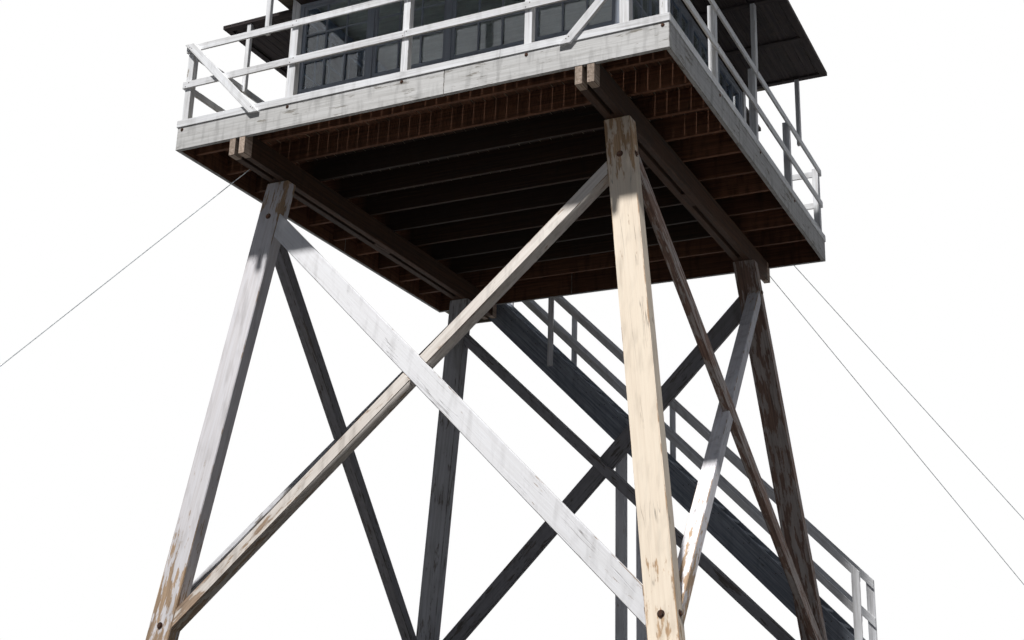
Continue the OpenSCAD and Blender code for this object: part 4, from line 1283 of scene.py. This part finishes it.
LUG_W = 0.080
LUG_T = 0.020
bm = start_mesh()
for low, high in zip(anchors, heads):
    along = ((high - low) * Vector((1, 1, 0))).normalized()
    flat = AXES["z"].cross(along)
    foot = Vector((low.x, low.y, ANCHOR_TOP))
    board(bm, rectangle(foot, along, flat, LUG_W, LUG_T), (0, 0, LUG_H), "z")
finish_piece(bm, "anchor_plates", iron, rounding=0.003)

# %% [markdown]
# One tree sets a bolt on each vertex of a mesh, turned to the direction that the vertex carries. A bolt
# is a hexagon head on a round washer.

# %% Bolt tree
def bolt_tree():
    tree, given = start_tree("bolts_on_points", ("Washer", "Head", "Height"))
    thin = add(tree, "ShaderNodeMath", {0: given["Height"], 1: 0.35}, operation="MULTIPLY")
    washer = add(tree, "GeometryNodeMeshCylinder", {"Vertices": 14, "Radius": given["Washer"], "Depth": thin})
    head = add(tree, "GeometryNodeMeshCylinder",
               {"Vertices": 6, "Radius": given["Head"], "Depth": given["Height"]})
    lift = add(tree, "ShaderNodeMath", {0: given["Height"], 1: 0.5}, operation="MULTIPLY")
    up = add(tree, "ShaderNodeCombineXYZ", {2: lift})
    head = add(tree, "GeometryNodeTransform", {"Geometry": head, "Translation": up})
    both = add(tree, "GeometryNodeJoinGeometry", {0: washer})
    tree.links.new(head.outputs[0], both.inputs[0])
    facing = add(tree, "GeometryNodeInputNamedAttribute", {"Name": "facing"}, data_type="FLOAT_VECTOR")
    turn = add(tree, "FunctionNodeAlignRotationToVector", {"Vector": facing}, axis="Z")
    points = add(tree, "GeometryNodeMeshToPoints", {"Mesh": given["Geometry"]})
    laid = add(tree, "GeometryNodeInstanceOnPoints", {"Points": points, "Instance": both, "Rotation": turn})
    real = add(tree, "GeometryNodeRealizeInstances", {"Geometry": laid})
    return end_tree(tree, real, given)


bolts = bolt_tree()


def set_bolts(name, places, washer, head, height):
    """Sets iron bolts at the places, a list of points and directions. The sizes are two radii and the
    head's height."""
    mesh = bpy.data.meshes.new(name + "_points")
    mesh.from_pydata([tuple(point) for point, way in places], [], [])
    facing = mesh.attributes.new("facing", "FLOAT_VECTOR", "POINT")
    for item, (point, way) in zip(facing.data, places):
        item.vector = way
    bm = start_mesh()
    bm.from_mesh(grow(bolts, name, mesh, Washer=washer, Head=head, Height=height, Material=iron))
    finish_piece(bm, name, iron, rounding=0)
    print(len(places), "in", name)


print(bolts.name, "has the inputs", [i.name for i in bolts.interface.items_tree if i.in_out == "INPUT"])

# %% [markdown]
# Through bolts hold the braces to the legs and the posts to the rim; seen from below they are dark
# spots. Those of the frame sit on the middle lines of the legs' faces, square to them.

# %% Bolts
HEAD_X = 2.245                 # the leg heads' distance from the middle, along the front
FOOT = 2.985                   # the leg feet's distance from the middle, both ways
LEG_W = 0.310
LEG_T = 0.180
BOLT_LOW = 0.500               # height of the bolts through the braces' feet
BOLT_UNDER_RIM = 0.700         # distance of those through the braces' heads under the rim
RIM_BOLT_DROP = 0.130          # distance of the rim's bolts under the walkway
lean_x = (FOOT - HEAD_X) / (rim_z - footing_z)
lean_y = (FOOT - HEAD_Y) / (rim_z - footing_z)


def leg_centre(mx, my, z):
    """A leg's centre line at a height; mx and my choose the leg."""
    t = (rim_z - z) / (rim_z - footing_z)
    return Vector((mx * (HEAD_X + (FOOT - HEAD_X) * t), my * (HEAD_Y + (FOOT - HEAD_Y) * t), z))


frame_bolts = []
for mx in (-1, 1):
    for my in (-1, 1):
        out_x = Vector((mx, 0, lean_x)).normalized()
        out_y = Vector((0, my, lean_y)).normalized()
        for z in (BOLT_LOW, rim_z - BOLT_UNDER_RIM):
            centre = leg_centre(mx, my, z)
            frame_bolts.append((centre + out_y * LEG_T / 2, out_y))
            frame_bolts.append((centre + out_x * LEG_W / 2, out_x))
set_bolts("frame_bolts", frame_bolts, washer=0.038, head=0.024, height=0.020)


def on_side(turn, point, way=(0, -1, 0)):
    """A place and a direction on one side, from its own coordinates, which are the front's."""
    spin = Matrix.Rotation(turn * QUARTER, 3, "Z")
    return spin @ Vector(point), spin @ Vector(way)


rim_bolts = [on_side(turn, (u, -out, deck_z - RIM_BOLT_DROP))
             for turn, out, posts in post_rows for u in posts]
set_bolts("rim_bolts", rim_bolts, washer=0.022, head=0.013, height=0.011)

# %% [markdown]
# Nails hold every rail to its posts, two at a crossing, and the treads to the stringers. They are driven
# flush and rust, so each is a low brown disc. The same tree sets them as sets the bolts.

# %% Nails
PAIR = 0.024                   # the two nails of a crossing sit this far off its middle, both ways
SLANT_NAILS = ((0.085, rail_z - 0.050), (SLANT_RUN + 0.020, deck_z - 0.045))
SLANT_PAIR = Vector((0.030, 0, -0.020))
nails = []
for turn, out, posts in post_rows + [(2, landing_high.y, [corner_u, POST / 2 - stair_x])]:
    for x in posts:
        for z in (rail_z - RAIL_W / 2, MID_Z):
            nails += [on_side(turn, (x + m * PAIR, -out, z + m * PAIR)) for m in (-1, 1)]
for m in (-1, 1):
    for x, z in SLANT_NAILS:
        for step in (Vector(), SLANT_PAIR):
            nails.append(on_side(0, (m * (x + step.x - half_l), -half_w - SLANT_T, z + step.z)))
for i in range(1, RISERS):
    for k in (0.3, 0.7):
        x = stair_x + i * GOING - TREAD_IN - TREAD_D * k
        z = deck_z - i * deck_z / RISERS - TREAD_T / 2
        nails += [on_side(0, (x, y_out, z), (0, 1, 0)), on_side(0, (x, y_in, z))]
set_bolts("rail_nails", nails, washer=0.007, head=0.004, height=0.003)

POST_BOLTS = (-0.090, -0.200)  # heights of the bolts of the stair's rail posts over the line of the treads
BENT_BOLT_IN = 0.050
BENT_BOLT_DROP = 0.070
stair_bolts = [on_side(0, (x, y_out + stair_gap, nose_z(x) + lift), (0, 1, 0))
               for x in POST_XS for lift in POST_BOLTS]
stair_bolts += [on_side(0, (x, bent_high.y, nose_z(x) - STRINGER_V - BENT_BOLT_DROP), (0, 1, 0))
                for x in (bent_low.x + BENT_BOLT_IN, bent_high.x - BENT_BOLT_IN)]
set_bolts("stair_bolts", stair_bolts, washer=0.020, head=0.012, height=0.010)

# %% [markdown]
# Strap hinges are long tapered plates, forged from flat iron and nailed along the wood they carry. The
# shutters swing on one at each batten, laid on top of the boards, and the door hangs on three. Its knob
# is a turned ball on a round plate.

# %% Hinges and knob
STRAP_T = 0.004
STRAP_W = 0.045
# Half of a strap's outline: shares of its length and of its width, from the root to the tip
STRAP_HALF = [(0, 0.5), (0.75, 0.28), (0.93, 0.34)]
BARREL_R = 0.009
BARREL_L = 0.070
BARREL_LIFT = 0.006
SHUTTER_STRAP = 0.300          # lengths of the two kinds of strap
DOOR_STRAP = 0.340
ROOT_OFF = 0.012               # a strap's root lies this far off the wall or the door's edge


def strap(bm, place, along, across, out, length, turn):
    """A tapered strap with a barrel at its root. Out is the direction away from the wood."""
    place = Vector(place)
    sides = [(a, -b) for a, b in STRAP_HALF] + [(1, 0)] + STRAP_HALF[::-1]
    outline = [place + along * length * a + across * STRAP_W * b for a, b in sides]
    board(bm, outline, out * STRAP_T, along, turn)
    end = place + out * BARREL_LIFT - across * BARREL_L / 2
    board(bm, circle(end, along, out, BARREL_R, 8), across * BARREL_L, across, turn)


bm = start_mesh()
for turn in range(4):
    for i in range(BAYS + 1):
        x = -wall_end + BATTEN / 2 + i * step_x
        strap(bm, (x, -wall_out - ROOT_OFF, shutter_top), -AXES["y"], AXES["x"], AXES["z"], SHUTTER_STRAP,
              turn)
for z in (door_low.z + KICK_RAIL / 2, PANEL_TOP - STILE / 2, light_top + STILE / 2):
    strap(bm, (u0 + ROOT_OFF, y0, z), AXES["x"], AXES["z"], -AXES["y"], DOOR_STRAP, 2)
finish_piece(bm, "strap_hinges", iron, rounding=0)

# The knob's outline as a turner cuts it: plate, neck and ball, each point by its distance from the door
# and its radius
PLATE_AND_NECK = [(0, 0.030), (0.005, 0.0255), (0.005, 0.010), (0.032, 0.009)]
BALL_AT = 0.050
BALL_R = 0.027
BALL_FLAT = 0.020              # the ball is a little flattened: half its depth
knob_at = Vector((STILE / 2 - u1, -y0, PANEL_TOP + 0.020))
angles = [math.pi * k / 12 for k in range(2, 12)]
ball = [(BALL_AT - BALL_FLAT * math.cos(t), BALL_R * math.sin(t)) for t in angles]
bm = start_mesh()
rings = []
for away, radius in PLATE_AND_NECK + ball:
    points = circle(knob_at + AXES["y"] * away, AXES["x"], AXES["z"], radius, 20)
    rings.append([bm.verts.new(p) for p in points])
bm.faces.new(rings[0])
for k, (ring, after) in enumerate(zip(rings, rings[1:])):
    for i in range(-1, len(ring) - 1):
        bm.faces.new((ring[i], ring[i + 1], after[i + 1], after[i])).smooth = k > 1
tip = bm.verts.new(knob_at + AXES["y"] * (BALL_AT + BALL_FLAT))
for i in range(-1, len(ring) - 1):
    bm.faces.new((rings[-1][i], rings[-1][i + 1], tip)).smooth = True
finish_piece(bm, "door_knob", iron, rounding=0)

# %% [markdown]
# At its anchor a wire rope is turned back round the plate and held by clips, each a saddle with two
# nuts. At its head it ends in a lug on a flat plate, which is bolted to the timber.

# %% Wire clips and head plates
CLIP_SPOTS = (0.16, 0.24, 0.32)    # distances of a wire's clips from the middle of its plate
SADDLE_L = 0.024
SADDLE_W = 0.040
SADDLE_T = 0.014
SADDLE_UNDER = 0.012           # the saddle's lower face lies this far under the wire's middle
NUT_R = 0.008
NUT_T = 0.010
NUT_OUT = 0.012                # a nut's distance from the wire, and its foot's height over it
NUT_FOOT = 0.003
TAIL_AT = 0.070
TAIL_L = 0.290
TAIL_R = 0.005
TAIL_LIFT = 0.013
bm = start_mesh()
for low, high in zip(anchors, heads):
    run = (high - low).normalized()
    flat = run.cross(AXES["z"]).normalized()
    up = flat.cross(run)
    for reach in CLIP_SPOTS:
        spot = low + run * reach
        saddle = rectangle(spot - up * SADDLE_UNDER, run, flat, SADDLE_L, SADDLE_W)
        board(bm, saddle, up * SADDLE_T, run)
        for m in (-1, 1):
            nut = circle(spot + flat * m * NUT_OUT + up * NUT_FOOT, run, flat, NUT_R, 6)
            board(bm, nut, up * NUT_T, up)
    # The tail of the rope lies beside it between the clips
    board(bm, circle(low + run * TAIL_AT + up * TAIL_LIFT, flat, up, TAIL_R, 8), run * TAIL_L, run)
finish_piece(bm, "wire_clips", zinc, rounding=0)

PLATE_W = 0.080
PLATE_H = 0.070
PLATE_T = 0.006
# The lug seen from the side: distance from the timber, and height
LUG_OUTLINE = ((PLATE_T, -0.020), (0.034, -0.012), (0.034, 0.008), (PLATE_T, 0.020))
LUG_HALF = 0.006
BOLT_OUT = 0.026
bm = start_mesh()
plate_bolts = []
for head, way in zip(heads, (-AXES["x"], AXES["y"], AXES["y"])):
    side = way.cross(AXES["z"])
    board(bm, rectangle(head, side, AXES["z"], PLATE_W, PLATE_H), way * PLATE_T, side)
    lug = [head + way * a + AXES["z"] * b - side * LUG_HALF for a, b in LUG_OUTLINE]
    board(bm, lug, side * 2 * LUG_HALF, way)
    plate_bolts += [(head + side * m * BOLT_OUT + way * PLATE_T, way) for m in (-1, 1)]
finish_piece(bm, "head_plates", iron, rounding=0)
set_bolts("plate_bolts", plate_bolts, washer=0.013, head=0.009, height=0.008)

# %% [markdown]
# A plain pale floor, as in a studio. The tower is looked at from below its foot, so the floor is made
# see-through from underneath for the eye only. For light that it would throw back it is dark, because
# hardly any comes up under the real platform.

# %% Floor
def seen_rays(tree):
    """Where a ray comes from the eye, straight, by a reflection or through glass."""
    path = add(tree, "ShaderNodeLightPath").outputs
    seen = path["Is Camera Ray"]
    for kind in ("Is Glossy Ray", "Is Transmission Ray"):
        seen = add(tree, "ShaderNodeMath", {0: seen, 1: path[kind]}, operation="MAXIMUM")
    return seen, path["Is Camera Ray"]


def stage_material():
    material, tree = start_material("studio_floor")
    seen, straight = seen_rays(tree)
    place = add(tree, "ShaderNodeTexCoord").outputs["Object"]
    cloud = add(tree, "ShaderNodeTexNoise", {"Vector": place, "Scale": 0.6, "Detail": 4.0})
    pale = add(tree, "ShaderNodeMix", {0: cloud, 6: linear("#E8E7E4"), 7: linear("#F2F1EE")},
               data_type="RGBA")
    colour = add(tree, "ShaderNodeMix", {0: seen, 6: linear("#2E2C2A"), 7: pale}, data_type="RGBA")
    cover = add(tree, "ShaderNodeBsdfPrincipled", {"Base Color": colour, "Roughness": 0.9})
    clear = add(tree, "ShaderNodeBsdfTransparent")
    back = add(tree, "ShaderNodeNewGeometry").outputs["Backfacing"]
    under = add(tree, "ShaderNodeMath", {0: back, 1: straight}, operation="MULTIPLY")
    shader = add(tree, "ShaderNodeMixShader", {0: under, 1: cover, 2: clear})
    end_material(tree, shader)
    return material


FLOOR = 45.0                   # half the floor's side
mesh = bpy.data.meshes.new("floor")
corners = [(-FLOOR, -FLOOR, 0), (FLOOR, -FLOOR, 0), (FLOOR, FLOOR, 0), (-FLOOR, FLOOR, 0)]
mesh.from_pydata(corners, [], [(0, 1, 2, 3)])
mesh.materials.append(stage_material())
floor = bpy.data.objects.new("floor", mesh)
bpy.context.scene.collection.objects.link(floor)
print("floor", 2 * FLOOR, "m wide")

# %% [markdown]
# A main lamp stands high in front and a weak wide one behind. Light from all round stays low: what hangs
# under the platform is deep in shade, as it is on the real tower.

# %% Lamps and world
def set_lamp(name, way, energy, spread, code):
    """A distant lamp that shines from the direction way; spread is its width in degrees."""
    lamp = bpy.data.lights.new(name, "SUN")
    lamp.energy = energy
    lamp.angle = math.radians(spread)
    lamp.color = linear(code)[:3]
    holder = bpy.data.objects.new(name, lamp)
    bpy.context.scene.collection.objects.link(holder)
    holder.rotation_euler = Vector(way).to_track_quat("Z", "Y").to_euler()


# The key lamp's direction follows the shadow edges on the legs and braces of the photograph
set_lamp("key_lamp", (0.03, -0.61, 1.0), 5.0, 3, "#FFFEFC")
# A weak, wide lamp from behind keeps the rear readable; the faces seen from the front don't get it
set_lamp("rear_lamp", (-0.6, 0.8, 0.6), 1.1, 25, "#E6ECF6")

world = bpy.data.worlds.new("studio")
bpy.context.scene.world = world
world.use_nodes = True
tree = world.node_tree
tree.nodes.clear()
seen, straight = seen_rays(tree)
fill = add(tree, "ShaderNodeBackground", {"Color": linear("#C6D0E0"), "Strength": 0.22})
white = add(tree, "ShaderNodeBackground", {"Color": (1, 1, 1, 1), "Strength": 1.0})
mixed = add(tree, "ShaderNodeMixShader", {0: seen, 1: fill, 2: white})
add(tree, "ShaderNodeOutputWorld", {"Surface": mixed})
bpy.context.scene.view_settings.view_transform = "Standard"
print("two lamps and a pale sky")
